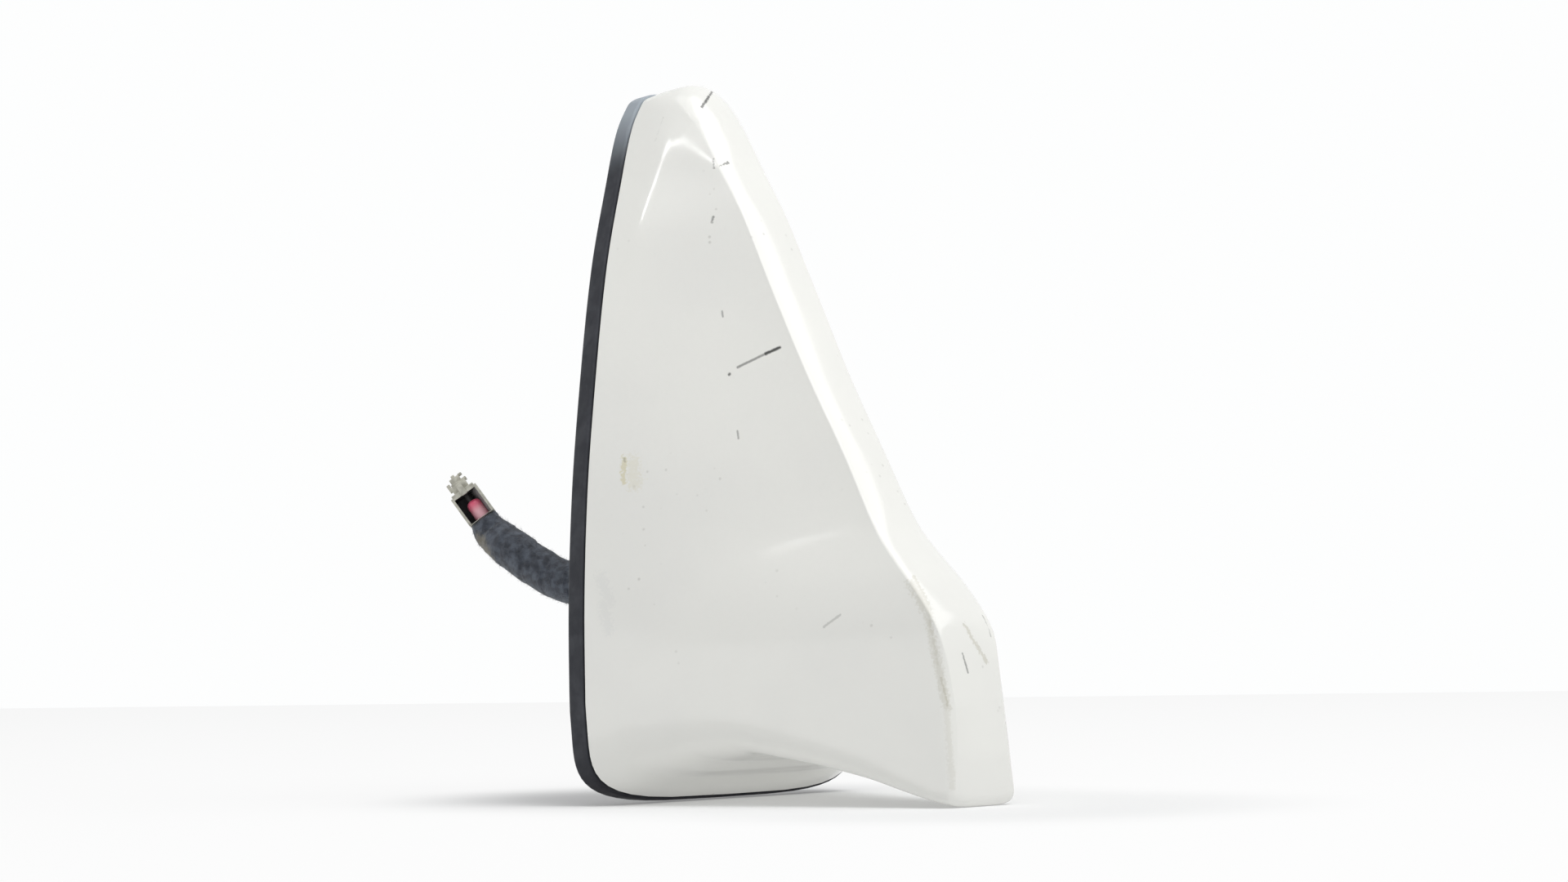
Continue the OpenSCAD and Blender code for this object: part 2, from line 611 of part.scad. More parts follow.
cover();
cover_frame();
base_seal();
gasket();
base_plate();
cover_screws();
vent_plug();
amp_board();
board_screws();
board_chips();
shield_can();
patch_ceramic();
patch_electrode();
patch_pin();
phone_board();
phone_foil();
coil_former();
radio_coil();
top_plate();
lead_sockets();
coax_leads();
cable_grommet();
pigtail_tape();
plug_housing();
plug_jacket();
plug_contact();
plug_collar();
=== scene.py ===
# %% [markdown]
# # A car roof antenna, standing on its tail
#
# The real object is a painted plastic fin on a rubber gasket. A hollow threaded
# stud goes through the roof, and a taped pigtail with a small plug comes out of
# it. The CAD model holds every piece at its real size. This lesson dresses it:
# it keeps the CAD frame, builds smooth skins over the faceted ones, and gives
# every piece a finish made of nodes.

import json
import math
import random

import bmesh
import bpy
from mathutils import Matrix, Vector, noise


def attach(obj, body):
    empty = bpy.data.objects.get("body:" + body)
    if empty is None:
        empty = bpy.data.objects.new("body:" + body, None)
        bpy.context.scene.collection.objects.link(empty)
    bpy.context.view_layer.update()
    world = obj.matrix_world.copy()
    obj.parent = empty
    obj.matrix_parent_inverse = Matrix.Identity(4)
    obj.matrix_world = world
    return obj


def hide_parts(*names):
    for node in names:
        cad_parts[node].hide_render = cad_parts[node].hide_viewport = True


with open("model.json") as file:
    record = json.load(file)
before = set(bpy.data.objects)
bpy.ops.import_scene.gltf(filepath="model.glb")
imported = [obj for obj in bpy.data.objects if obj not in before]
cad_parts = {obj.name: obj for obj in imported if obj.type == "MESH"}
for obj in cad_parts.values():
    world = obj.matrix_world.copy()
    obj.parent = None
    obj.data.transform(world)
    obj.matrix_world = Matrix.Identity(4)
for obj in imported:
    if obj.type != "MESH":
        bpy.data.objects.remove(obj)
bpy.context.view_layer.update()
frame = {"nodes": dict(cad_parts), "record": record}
nodes = frame["nodes"]
MM = 0.001

# %% [markdown]
# ## The camera
#
# The photograph shows the antenna nose up, so the picture's up direction is the
# part's +X, leaned a little towards +Z because the fin rests on its gasket and
# its tail end. A long lens from about 0.7 m keeps the sides nearly parallel. The
# camera's axes are written out as three directions, since a look-at helper would
# keep Z up.

# %% Camera
LEAN, PITCH, TURN = (math.radians(a) for a in (6.6, 1.4, 45.0))
CAMERA_AT = (-52.5, 482.8, 501.9)           # in mm
FOCAL, SENSOR = 91.92, 36                   # in mm
LEFT = Vector((0, 1, 0))
stand_up = Vector((math.cos(LEAN), 0, math.sin(LEAN)))
dorsal = Vector((-math.sin(LEAN), 0, math.cos(LEAN)))
towards = LEFT * math.cos(TURN) + dorsal * math.sin(TURN)
to_right = dorsal * math.cos(TURN) - LEFT * math.sin(TURN)
to_back = towards * math.cos(PITCH) - stand_up * math.sin(PITCH)
to_top = stand_up * math.cos(PITCH) + towards * math.sin(PITCH)

lens = bpy.data.cameras.new("camera")
lens.lens, lens.sensor_width = FOCAL, SENSOR
lens.clip_start, lens.clip_end = 0.02, 20
camera = bpy.data.objects.new("camera", lens)
turn = Matrix((to_right, to_top, to_back)).transposed().to_4x4()
camera.matrix_world = Matrix.Translation(Vector(CAMERA_AT) * MM) @ turn
bpy.context.scene.collection.objects.link(camera)
bpy.context.scene.camera = camera
print("camera looks along", [round(-v, 3) for v in to_back])

# %% [markdown]
# ## Skins from a grid
#
# Most pieces here are lofts: rings of points that follow a rule. A grid has the
# right faces already, so each skin starts as `create_grid`, one row for each
# ring. Its points are moved onto the rings, the seam is merged, the ends are
# filled, and the normals are turned outwards. One helper finishes every piece in
# the same way: it makes the object, shades it smooth and lets it ride. Another
# eases one shape into the next.

# %% Helpers for skins and pieces
def skin(rings, closed=True, caps=True):
    """A bmesh grid whose rows lie on the rings, given in millimetres."""
    bm = bmesh.new()
    around = len(rings[0])
    made = bmesh.ops.create_grid(
        bm, x_segments=around if closed else around - 1, y_segments=len(rings) - 1, size=1)
    bm.verts.ensure_lookup_table()
    row = around + 1 if closed else around
    for i, vert in enumerate(made["verts"]):
        vert.co = Vector(rings[i // row][i % row % around]) * MM
    bmesh.ops.remove_doubles(bm, verts=bm.verts, dist=1e-7)
    if caps:
        bmesh.ops.holes_fill(bm, edges=[e for e in bm.edges if e.is_boundary], sides=0)
    bmesh.ops.recalc_face_normals(bm, faces=bm.faces)
    return bm


def piece(bm, name, replaced=(), sharp=40):
    """Turns a bmesh into a finished object that rides on the root."""
    mesh = bpy.data.meshes.new(name)
    bm.to_mesh(mesh)
    bm.free()
    mesh.shade_smooth()
    mesh.set_sharp_from_angle(angle=math.radians(sharp))
    made = bpy.data.objects.new(name, mesh)
    bpy.context.scene.collection.objects.link(made)
    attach(made, "root")
    if replaced:
        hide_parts(*replaced)
    print(name, "has", len(mesh.polygons), "faces")
    return made


def ease(low, high, v):
    """0 below low, 1 above high, and smooth between them."""
    t = min(1.0, max(0.0, (v - low) / (high - low)))
    return t * t * (3 - 2 * t)


# %% [markdown]
# ## The pigtail
#
# Three coaxial leads leave the stud in one bundle, wound with fleece tape. The
# bundle is a short free cord, 43 mm long and 7 mm thick, and bends up to its plug.
# The tape is wound with an overlap, so the tube gets a small step that climbs
# round it, and a felt of fine bumps. The route is the one in the CAD source.

# %% The route
ROUTE = [(0, 0, -10), (0, 0, -16), (0, 0, -22), (0.3, 0.6, -27), (1.6, 2, -32),
         (4.6, 3.4, -37), (8.2, 4.9, -41.5), (11.6, 5.9, -45.6), (14.6, 7.2, -46.9)]
ROUTE = [Vector(p) for p in ROUTE]
TAPE_R = 3.4
FINE_STEPS = 800        # short steps that the line's length is measured in


def on_route(t):
    """A point of the smooth line through the route, t counted in its points."""
    i = min(int(t), len(ROUTE) - 2)
    f = t - i
    a, b = ROUTE[i], ROUTE[i + 1]
    before = ROUTE[i - 1] if i else a * 2 - b
    after = ROUTE[i + 2] if i + 2 < len(ROUTE) else b * 2 - a
    return 0.5 * ((2 * a) + (b - before) * f + (2 * before - 5 * a + 4 * b - after) * f ** 2
                  + (3 * a - before - 3 * b + after) * f ** 3)


def along(count):
    """Points at even steps of the route's smooth line, with their distances."""
    fine = [on_route(t * (len(ROUTE) - 1) / FINE_STEPS) for t in range(FINE_STEPS + 1)]
    reach = [0.0]
    for a, b in zip(fine, fine[1:]):
        reach.append(reach[-1] + (b - a).length)
    points, k = [], 0
    for j in range(count):
        want = reach[-1] * j / (count - 1)
        while k < FINE_STEPS - 1 and reach[k + 1] < want:
            k += 1
        f = (want - reach[k]) / (reach[k + 1] - reach[k])
        points.append((fine[k].lerp(fine[k + 1], f), want))
    return points


line = along(36)
route_length = line[-1][1]
print("pigtail length in mm:", round(route_length, 1))

# %% The taped tube
WRAP, LAP = 5.2, 0.22       # how far one turn of tape climbs, and its step, in mm
SWELL, TAPER = 0.3, 0.86    # how far it swells half way, and narrows at its end
IN_STUD = 10                # its first stretch, in the stud and its grommet
FELT = 0.13                 # the height of the felt


def tape_radius(s, angle):
    """The tape's radius at a distance s along the pigtail."""
    turn_part = (s / WRAP - angle / math.tau) % 1.0
    step = LAP * min(1.0, turn_part * 7) * (1.0 - 0.8 * turn_part)
    left = route_length - s
    taper = TAPER * max(0.0, 1 - left / 4.5) ** 1.5
    grip = 1.0 if s > IN_STUD else 0.0
    swell = SWELL * ease(9, 14, s) * ease(3, 9, left)
    return TAPE_R - 0.1 + grip * step + swell - taper


def hoop(points, i, count, radius_of):
    """One ring round point i of a line, square to it."""
    here, s = points[i]
    ahead = (points[min(i + 1, len(points) - 1)][0] - points[max(i - 1, 0)][0]).normalized()
    side = ahead.cross(LEFT).normalized()
    over = ahead.cross(side)
    ring = []
    for k in range(count):
        angle = math.tau * k / count
        out = side * math.cos(angle) + over * math.sin(angle)
        ring.append(here + out * radius_of(s, angle, here + out))
    return ring


def felt(s, angle, spot):
    """The tape's radius with its felt of fine bumps, outside the stud."""
    rough = noise.noise(spot * 2.1) * 0.5 + noise.noise(spot * 5.3) * 0.35
    return tape_radius(s, angle) + (FELT * rough if s > IN_STUD + 0.5 else 0)


fine_line = along(170)
rings = [hoop(fine_line, i, 56, felt) for i in range(len(fine_line))]
tape = piece(skin(rings), "pigtail_wrap", ["pigtail_tape"], sharp=80)

# %% [markdown]
# Fleece tape is hairy. A bump can't show hairs on an outline, so a few thousand
# real ones stand on the tube, each a thin three-sided cone. They have very few
# faces each, because there are so many.

# %% Tape hairs
rng = random.Random(11)
hairs = bmesh.new()
HAIRS, HAIR_FROM = 2200, 46                 # how many, and the first ring with any
HAIR_R, HAIR_TIP_R = 0.022, 0.006
for _ in range(HAIRS):
    i = rng.randrange(HAIR_FROM, len(fine_line) - 2)
    angle = rng.uniform(0, math.tau)
    here, s = fine_line[i]
    ahead = (fine_line[i + 1][0] - fine_line[i - 1][0]).normalized()
    side = ahead.cross(LEFT).normalized()
    out = side * math.cos(angle) + ahead.cross(side) * math.sin(angle)
    root_at = here + out * (tape_radius(s, angle) - 0.05)
    lean = Vector([rng.gauss(0, 1) for _ in range(3)])
    way = (out * rng.uniform(0.15, 1.0) + lean.cross(out).normalized() * rng.uniform(0.4, 1.1)).normalized()
    length = rng.uniform(0.25, 0.85)
    matrix = (Matrix.Translation((root_at + way * length / 2) * MM)
              @ way.to_track_quat("Z", "Y").to_matrix().to_4x4())
    bmesh.ops.create_cone(hairs, cap_ends=False, segments=3, radius1=HAIR_R * MM,
                          radius2=HAIR_TIP_R * MM, depth=length * MM, matrix=matrix)
fuzz = piece(hairs, "pigtail_fuzz")

# %% [markdown]
# ## The plug
#
# The plug is a light housing with one open side, where the pink lead ends, and
# a stepped collar with a latch. Everything on it is built along its own axis and
# then brought to its place with one matrix, so the numbers stay simple. Boxes are
# cubes whose edges get a small bevel, because moulded edges are never sharp. The
# open side is an inset face, pushed in: it runs on a little under the tape, and
# one of its walls slopes.

# %% Plug matrix and box helper
plug_place = (Matrix.Translation(ROUTE[-1]) @ Matrix.Rotation(math.radians(-45), 4, "X")
              @ Matrix.Rotation(math.radians(31.5), 4, "Z"))
to_metres = Matrix.Scale(MM, 4)
print("plug starts at", [round(v, 1) for v in plug_place.translation], "mm")


def bevel_all(bm, size, segments=2, edges=None):
    """Rounds all edges of a bmesh, or those given."""
    bmesh.ops.bevel(bm, geom=edges or bm.edges[:], offset=size, offset_type="OFFSET",
                    affect="EDGES", segments=segments, profile=0.5, material=-1,
                    clamp_overlap=True)


def box(low, high, bevel=0.0):
    """A block between two corners, in millimetres of the plug's own axes."""
    bm = bmesh.new()
    low, high = Vector(low), Vector(high)
    bmesh.ops.create_cube(bm, size=1, matrix=Matrix.Translation((low + high) / 2)
                          @ Matrix.Diagonal((high - low).to_4d()))
    if bevel:
        bevel_all(bm, bevel)
    return bm


def join(parts):
    """Puts several bmeshes into one."""
    whole = bmesh.new()
    for part in parts:
        mesh = bpy.data.meshes.new("part")
        part.to_mesh(mesh)
        part.free()
        whole.from_mesh(mesh)
        bpy.data.meshes.remove(mesh)
    return whole


def to_plug(bm):
    """Brings what was built on the plug's axes to its place, in metres."""
    bmesh.ops.transform(bm, matrix=to_metres @ plug_place, verts=bm.verts)
    return bm


# %% Plug housing
PLUG_W, PLUG_LEN, PLUG_WALL = 5.4, 5.8, 0.5
UNDER_TAPE, SLOPE_IN = 0.42, 1.3            # how far the window runs on, and a wall leans in
half_w = PLUG_W / 2
housing = box((0.1, -half_w, -half_w), (0.1 + PLUG_LEN, half_w, half_w))
window = max(housing.faces, key=lambda f: f.calc_center_median().z)
bmesh.ops.inset_individual(housing, faces=[window], thickness=PLUG_WALL, use_even_offset=True)
for vert in window.verts:
    if vert.co.x < 1:
        vert.co.x -= UNDER_TAPE
pit = bmesh.ops.extrude_face_region(housing, geom=[window])
pit_floor = [v for v in pit["geom"] if isinstance(v, bmesh.types.BMVert)]
bmesh.ops.translate(housing, vec=(0, 0, -(PLUG_W - PLUG_WALL)), verts=pit_floor)
bmesh.ops.translate(housing, vec=(0, SLOPE_IN, 0), verts=[v for v in pit_floor if v.co.y < 0])
bmesh.ops.delete(housing, geom=[window], context="FACES_ONLY")
for face in housing.faces:
    middle = face.calc_center_median()
    inside = (abs(middle.y) < half_w - 0.1 and 0.13 < middle.x < PLUG_LEN - 0.1
              and -half_w + 0.1 < middle.z < half_w - 0.1)
    sloped = inside and abs(middle.z) < 0.5 and middle.y < -0.5
    # 1 gets the painted shade of the window's inside, 2 the painted light of its sloped wall
    face.material_index = 2 if sloped else 1 if inside else 0      # 0 is the outside
bevel_all(housing, 0.09, edges=[e for e in housing.edges if e.calc_face_angle(0) > 0.5])
bmesh.ops.recalc_face_normals(housing, faces=housing.faces)
plug_shell = piece(to_plug(housing), "plug_shell", ["plug_housing"])

# %% Lead end in the plug
LEAD_R, LEAD_OUT, LEAD_ROUND = 1.4, 4.0, 0.95
LEAD_AT = (1.9, -0.25, 0.5)
lead_end = bmesh.new()
lying = Matrix.Translation(LEAD_AT) @ Matrix.Rotation(math.radians(90), 4, "Y")
bmesh.ops.create_cone(lead_end, cap_ends=True, segments=28, radius1=LEAD_R, radius2=LEAD_R,
                      depth=LEAD_OUT, matrix=lying)
tip_edges = [e for e in lead_end.edges if all(v.co.x > LEAD_AT[0] + LEAD_OUT / 2 - 0.1 for v in e.verts)]
bevel_all(lead_end, LEAD_ROUND, segments=6, edges=tip_edges)
lead_tip = piece(to_plug(lead_end), "plug_lead_end", ["plug_jacket"], sharp=60)

# %% Plug collar
x0 = PLUG_LEN + 0.1
collar_parts = [
    box((x0 - 0.05, -half_w * 0.86, -half_w * 0.9), (x0 + 0.45, half_w * 0.86, half_w * 0.98), 0.08),
    box((x0 + 0.4, -1.55, -1.7), (x0 + 1.9, 1.55, 1.75), 0.1),
    box((x0 + 1.85, -1.95, -1.3), (x0 + 2.35, 1.2, 1.3), 0.08),
    box((x0 + 2.3, -1.05, -1.2), (x0 + 3.3, 0.95, 1.1), 0.1),
    box((x0 + 3.0, -1.7, -0.4), (x0 + 3.45, -0.9, 0.9), 0.06),
    box((x0 + 3.25, -0.35, -0.5), (x0 + 3.8, 0.35, 0.75), 0.08),
    box((x0 + 1.2, 1.3, 0.2), (x0 + 2.7, 1.95, 1.5), 0.07),
    box((x0 - 0.6, -0.55, half_w - 0.35), (x0 + 1.4, 0.55, half_w + 0.3), 0.1),
]
collar = piece(to_plug(join(collar_parts)), "plug_steps", ["plug_collar"])

# %% [markdown]
# The cord's number of points and its thickness are printed. The pigtail and all that
# sits on it are one free cord.

# %% The cord
print("cord:", len(line), "points,", 2 * TAPE_R, "mm thick")

# %% [markdown]
# ## The painted cover
#
# The cover is one moulding: two nearly flat sides that lean in to a flat band
# along the ridge, a rounded nose, a hollow back and a tail that overhangs. The
# CAD source cuts it into level sections from a few curves. The same curves are
# read here at many more places, so the paint gets a clean reflection. Each curve
# is a short list of points, joined with no overshoot.

# %% The curves
NOSE, REAR, WIDE, HIGH, FOOT = 83.4, 39.2, 31.8, 63.8, 4.0
TAIL, CUT = -(REAR + 6.1), -(REAR - 5.3)
BAND, BAND_TAIL = 10.0, 15.4
slope = NOSE - 13.2
NOSE_H = HIGH - 44.8 - FOOT      # height of the rounded nose, below the straight slope


def up_nose(points):
    """A curve whose heights are counted in heights of the nose."""
    return [(FOOT + share * NOSE_H, value) for share, value in points]


RIDGE = up_nose([(0, NOSE), (0.2, NOSE + 0.6), (0.37, NOSE + 0.8), (0.53, NOSE - 0.4), (0.7, NOSE - 3.7),
                 (0.87, NOSE - 8.8), (1, slope)])
RIDGE += [(HIGH - 40, slope - 9.7), (HIGH - 34.1, slope - 24.2), (HIGH - 27.8, slope - 39.3),
          (HIGH - 21.2, 17), (HIGH - 14.4, 2.6), (HIGH - 9.8, -3.4), (HIGH - 6.4, -7.5),
          (HIGH - 3.3, -12), (HIGH - 1.5, -15.5), (HIGH - 0.6, -20), (HIGH, -28)]
BACK = [(FOOT, -REAR), (FOOT + 3, -REAR + 1.3), (FOOT + 6, -REAR + 2.9), (FOOT + 10, CUT - 1.6),
        (FOOT + 15, CUT - 0.3), (FOOT + 21, CUT), (HIGH - 30.8, CUT - 1.6), (HIGH - 17.8, CUT - 5.5),
        (HIGH - 9.8, TAIL + 2.7), (HIGH - 5.3, TAIL + 1), (HIGH - 2.8, TAIL + 0.2), (HIGH - 1.5, TAIL),
        (HIGH - 0.6, TAIL + 0.8), (HIGH, TAIL + 8)]
HALF = [(-23, WIDE), (-8, WIDE - 1.3), (12, WIDE - 4), (32, WIDE - 7.9), (NOSE - 31.4, WIDE - 12.6),
        (NOSE - 16.4, WIDE - 17.5), (NOSE - 6.4, BAND / 2 + 5.6), (NOSE - 1.4, BAND / 2 + 2.4),
        (NOSE, BAND / 2 + 1.2)]
BAND_HALF = [(TAIL, BAND_TAIL / 2), (-35, BAND_TAIL / 2 - 0.4), (-25, BAND_TAIL / 2 - 0.9),
             (-8, BAND / 2 + 1.1), (3, BAND / 2 + 0.1), (17, BAND / 2 - 0.2), (46, BAND / 2 + 0.1),
             (NOSE - 6, BAND / 2 - 0.3), (NOSE, BAND / 2 - 0.4)]
CORNER = [(FOOT, 12.4), (FOOT + 8, 11), (FOOT + 16, 9), (HIGH - 31, 8), (HIGH - 14, 6),
          (HIGH - 4, 3.5), (HIGH, 3)]


def read(points, v):
    """Reads a list of points at v, smoothly and with no overshoot."""
    if v <= points[0][0]:
        return points[0][1]
    if v >= points[-1][0]:
        return points[-1][1]
    i = max(k for k in range(len(points) - 1) if v >= points[k][0])

    def step(k):
        return (points[k + 1][1] - points[k][1]) / (points[k + 1][0] - points[k][0])

    def tangent(k):
        if k == 0 or k == len(points) - 1:
            return step(min(k, len(points) - 2))
        a, b = step(k - 1), step(k)
        return 0.0 if a * b <= 0 else 2 * a * b / (a + b)

    h = points[i + 1][0] - points[i][0]
    t = (v - points[i][0]) / h
    return ((2 * t ** 3 - 3 * t ** 2 + 1) * points[i][1] + (t ** 3 - 2 * t ** 2 + t) * tangent(i) * h
            + (3 * t ** 2 - 2 * t ** 3) * points[i + 1][1] + (t ** 3 - t ** 2) * tangent(i + 1) * h)


RIDGE_OF_X = [(x, z) for z, x in reversed(RIDGE) if z > FOOT + 0.3 * NOSE_H]
print("ridge height over the stud:", round(read(RIDGE_OF_X, 0), 1), "mm")


# %% [markdown]
# In its side view each side is a flat panel, and near the nose a soft bend runs
# round it in an arch, from the ridge's crease down and back along the foot. The
# panel is carried on straight past the bend, and what lies outside the bend is
# folded in, so that it still meets the foot and the crease. How far a point lies
# outside is a smooth maximum of two straight lines, the arch's low and front legs.

# %% The side with its bend
SIDE_POWER, WALL = 1.06, 2.2
ARCH_LOW, ARCH_CLIMB = (58.0, 8.5), 0.12       # the low leg: a point and its slope
ARCH_FRONT, ARCH_OUT = (73.1, 13.7), (0.8, 0.7)     # the front leg: a point and its outward slope
ARCH_TURN, ARCH_SOFT, ARCH_FOLD = 3.0, 0.45, 0.22    # corner, softness, and the fold's slope
ARCH_FADE = (46.0, 60.0)
PANEL_FROM, RIDGE_FROM = 62.0, 64.0            # from here on the panel runs straight


def soft_max(a, b, k):
    """The larger of two values, with a soft change from one to the other."""
    most = max(a, b)
    return most + k * math.log(math.exp((a - most) / k) + math.exp((b - most) / k))


def past_arch(x, z):
    """How far a point of the side view lies outside the arch, 0 inside it."""
    low = ARCH_LOW[1] + (x - ARCH_LOW[0]) * ARCH_CLIMB - z
    front = (x - ARCH_FRONT[0]) * ARCH_OUT[0] + (z - ARCH_FRONT[1]) * ARCH_OUT[1]
    return soft_max(0.0, soft_max(low, front, ARCH_TURN), ARCH_SOFT)


def straight_on(points, start, x, back=6.0):
    """A curve's value, carried on in a straight line from start."""
    here = read(points, x)
    if x <= start:
        return here
    slope_there = (read(points, start) - read(points, start - back)) / back
    return max(here, read(points, start) + slope_there * (x - start))


def side_y(x, z):
    """Half width of the fin at a point of its side view."""
    top = max(read(RIDGE_OF_X, x), FOOT + 0.5)
    band, foot = read(BAND_HALF, x), read(HALF, x)
    flat_foot = max(straight_on(HALF, PANEL_FROM, x), band)
    flat_top = max(straight_on(RIDGE_OF_X, RIDGE_FROM, x), top)

    def flat(height):
        part = min(1.0, max(0.0, (height - FOOT) / (flat_top - FOOT)))
        return band + (flat_foot - band) * (1 - part) ** SIDE_POWER

    s = min(1.0, max(0.0, (z - FOOT) / (top - FOOT)))
    at_foot, at_top = past_arch(x, FOOT), past_arch(x, top)
    fold = ARCH_FOLD * ease(*ARCH_FADE, x)
    foot_fold = fold + (flat_foot - max(foot, band)) / max(at_foot, 0.3)
    top_fold = fold + (flat(top) - band) / max(at_top, 0.3)
    return (flat(z) + fold * ((1 - s) * at_foot + s * at_top)
            - ((1 - s) * foot_fold + s * top_fold) * past_arch(x, z))


print("half width over the stud:", round(side_y(0, FOOT), 1), "mm")

# %% [markdown]
# A level section is one half of an outline, mirrored. It starts at the nose with
# a squared ellipse, runs back along the side, and turns the rear corner. Near the
# top it is drawn in, so that the ridge gets a small round edge. The inner wall
# follows the same rule, with the wall's thickness taken off. The levels lie
# closer together where the shape bends most.

# %% Sections of the cover
# A section's rounded front: its depth, and how square it is (2 is an ellipse).
NOSE_DEPTH = up_nose([(0, 2.2), (0.2, 3.6), (0.37, 4.5), (0.57, 4.2), (0.76, 3.2), (1, 2.2), (1.3, 1.7)])
NOSE_POWER = up_nose([(0, 3.0), (0.2, 2.8), (0.53, 2.5), (0.8, 2.2)])
BACK_POWER = 4.0


def bulge(q, n):
    """The half width of a squared ellipse, at a depth of q from its tip."""
    return 1.0 if q >= 1 else (1 - (1 - q) ** n) ** (1 / n)


def section(front, back, back_round, z, side_z, inset, counts=(12, 90, 12)):
    """One level section, from the nose end round to the nose end again."""
    ends, middle, rear = counts
    front_round, front_power = read(NOSE_DEPTH, z), read(NOSE_POWER, z)
    half = []
    for j in range(ends):
        q = 1 - math.cos(math.pi / 2 * j / ends)
        x = front - front_round * q
        half.append((x, max(0.02, side_y(x, side_z) - inset) * bulge(q, front_power)))
    for j in range(middle):          # closer together towards the nose
        x = (front - front_round) + (back + back_round - front + front_round) * (j / middle) ** 1.7
        half.append((x, max(0.02, side_y(x, side_z) - inset)))
    for j in range(rear, -1, -1):
        q = 1 - math.cos(math.pi / 2 * j / rear)
        x = back + back_round * q
        half.append((x, max(0.02, side_y(x, side_z) - inset) * bulge(q, BACK_POWER)))
    return [(x, y, z) for x, y in half] + [(x, -y, z) for x, y in half[-2:0:-1]]


def outer_section(z, grow=0.0, counts=(12, 90, 12)):
    """The cover's outside at a level, drawn in near the top."""
    gap = HIGH - z
    soft = 0.5 * (1.5 - gap) ** 2 + 0.15 * (1.5 - gap) if gap < 1.5 else 0.0
    return section(read(RIDGE, z) + grow, read(BACK, z) - grow, read(CORNER, z), z, z, soft - grow, counts)


def inner_section(z):
    """The cover's inside at a level."""
    ahead = min(read(RIDGE, z + 0.9 * WALL) - 0.42 * WALL, read(RIDGE, z) - WALL)
    return section(ahead, read(BACK, z) + 1.1 * WALL, max(2, read(CORNER, z) - 2), z, z + 0.35 * WALL,
                   1.07 * WALL)


print("a section has", len(outer_section(FOOT)), "points")

# %% The cover's skin
ARCH_TOP = FOOT + 18
low_part = [FOOT + 0.3 * i for i in range(60)]
low_part += [ARCH_TOP + 0.6 * i for i in range(int((HIGH - 1.6 - ARCH_TOP) / 0.6) + 1)]
top_part = [HIGH - d for d in (1.5, 1.35, 1.2, 1.05, 0.9, 0.75, 0.6, 0.45, 0.33, 0.22, 0.13, 0.06, 0.0)]
outer_levels = low_part + top_part
inner_levels = [FOOT + 1.5 * i for i in range(38)] + [HIGH - WALL - 0.4, HIGH - WALL]
rings = ([outer_section(z) for z in reversed(outer_levels)]
         + [inner_section(z) for z in inner_levels])
cover = piece(skin(rings), "painted_cover", ["cover"], sharp=50)

# %% [markdown]
# ## The gasket
#
# The rubber gasket is a thin tray: a rim round the cover's foot and a floor with
# holes for the stud, the pin, the vent and the screws. Its rim is a profile
# carried round the base outline, so the rows of the grid are outlines drawn in
# by the profile's depth. The floor is one `triangle_fill` between the outline
# and the hole circles, made twice and joined by the walls of the holes.

# %% The gasket
def outline(inward, z):
    """The cover's foot, drawn in by a distance, at a height."""
    return [(x, y, z) for x, y, _ in outer_section(FOOT, -inward, (16, 56, 16))]


PLATE_Z = 1.5
FRAME_SCREWS = [(58, 5.5), (58, -5.5), (-22, WIDE - 9.3), (-22, 9.3 - WIDE)]
GASKET_HOLES = [(0, 0, 8.5), (24, 0, 4.0), (14.5, 0, 3.1)] + [(x, y, 3.4) for x, y in FRAME_SCREWS]
RIM_PROFILE = [(2.95, 0.0), (2.3, 0.0), (2.05, 0.45), (1.65, 0.45), (1.4, 0.0), (0.35, 0.0), (0.0, 0.08),
               (-0.22, 0.22), (-0.36, 0.45), (-0.4, 0.75), (-0.4, 2.75), (-0.37, 3.1), (-0.27, 3.38),
               (-0.08, 3.54), (0.2, 3.6), (1.2, 3.6), (2.9, 3.6), (3.2, 3.4), (3.2, PLATE_Z)]


def fill_with_holes(bm, z, holes, loop):
    """Fills the flat region inside a boundary loop, round the hole circles."""
    circles = []
    for x, y, radius in holes:
        ring = bmesh.ops.create_circle(bm, cap_ends=False, segments=40, radius=radius * MM,
                                       matrix=Matrix.Translation(Vector((x, y, z)) * MM))
        circles.append(list({e for v in ring["verts"] for e in v.link_edges}))
    bmesh.ops.triangle_fill(bm, use_beauty=True, edges=loop + [e for c in circles for e in c])
    return circles


gasket_bm = skin([outline(d, z) for d, z in RIM_PROFILE], caps=False)
borders = [e for e in gasket_bm.edges if e.is_boundary]
under = [e for e in borders if all(v.co.z < 0.1 * MM for v in e.verts)]
upper = [e for e in borders if e not in set(under)]
low_circles = fill_with_holes(gasket_bm, 0.0, GASKET_HOLES, under)
high_circles = fill_with_holes(gasket_bm, PLATE_Z, GASKET_HOLES, upper)
for low_ring, high_ring in zip(low_circles, high_circles):
    bmesh.ops.bridge_loops(gasket_bm, edges=low_ring + high_ring)
bmesh.ops.recalc_face_normals(gasket_bm, faces=gasket_bm.faces)
rubber_gasket = piece(gasket_bm, "rubber_gasket", ["gasket"], sharp=35)

# %% [markdown]
# ## The casting and its thread
#
# The base casting ends in a hollow stud with an M14 x 1.5 thread. A profile of
# teeth spun once round the axis, climbing one pitch, meets itself one tooth
# further on, so merging its doubles gives one true helix. The plain stud is cut
# off a merged copy of the CAD casting, and the threaded one takes its place.

# %% The casting
STUD_R, STUD_BORE, STUD_LEN, STUD_TOP = 7.0, 4.5, 18.0, 0.6
ROUND_STUD = (STUD_R + 0.3) * MM
casting = bmesh.new()
casting.from_mesh(nodes["base_plate"].data)
bmesh.ops.remove_doubles(casting, verts=casting.verts, dist=1e-6)


def near_stud(item):
    """Whether a face lies wholly on the stud."""
    return all(v.co.xy.length < ROUND_STUD for v in item.verts)


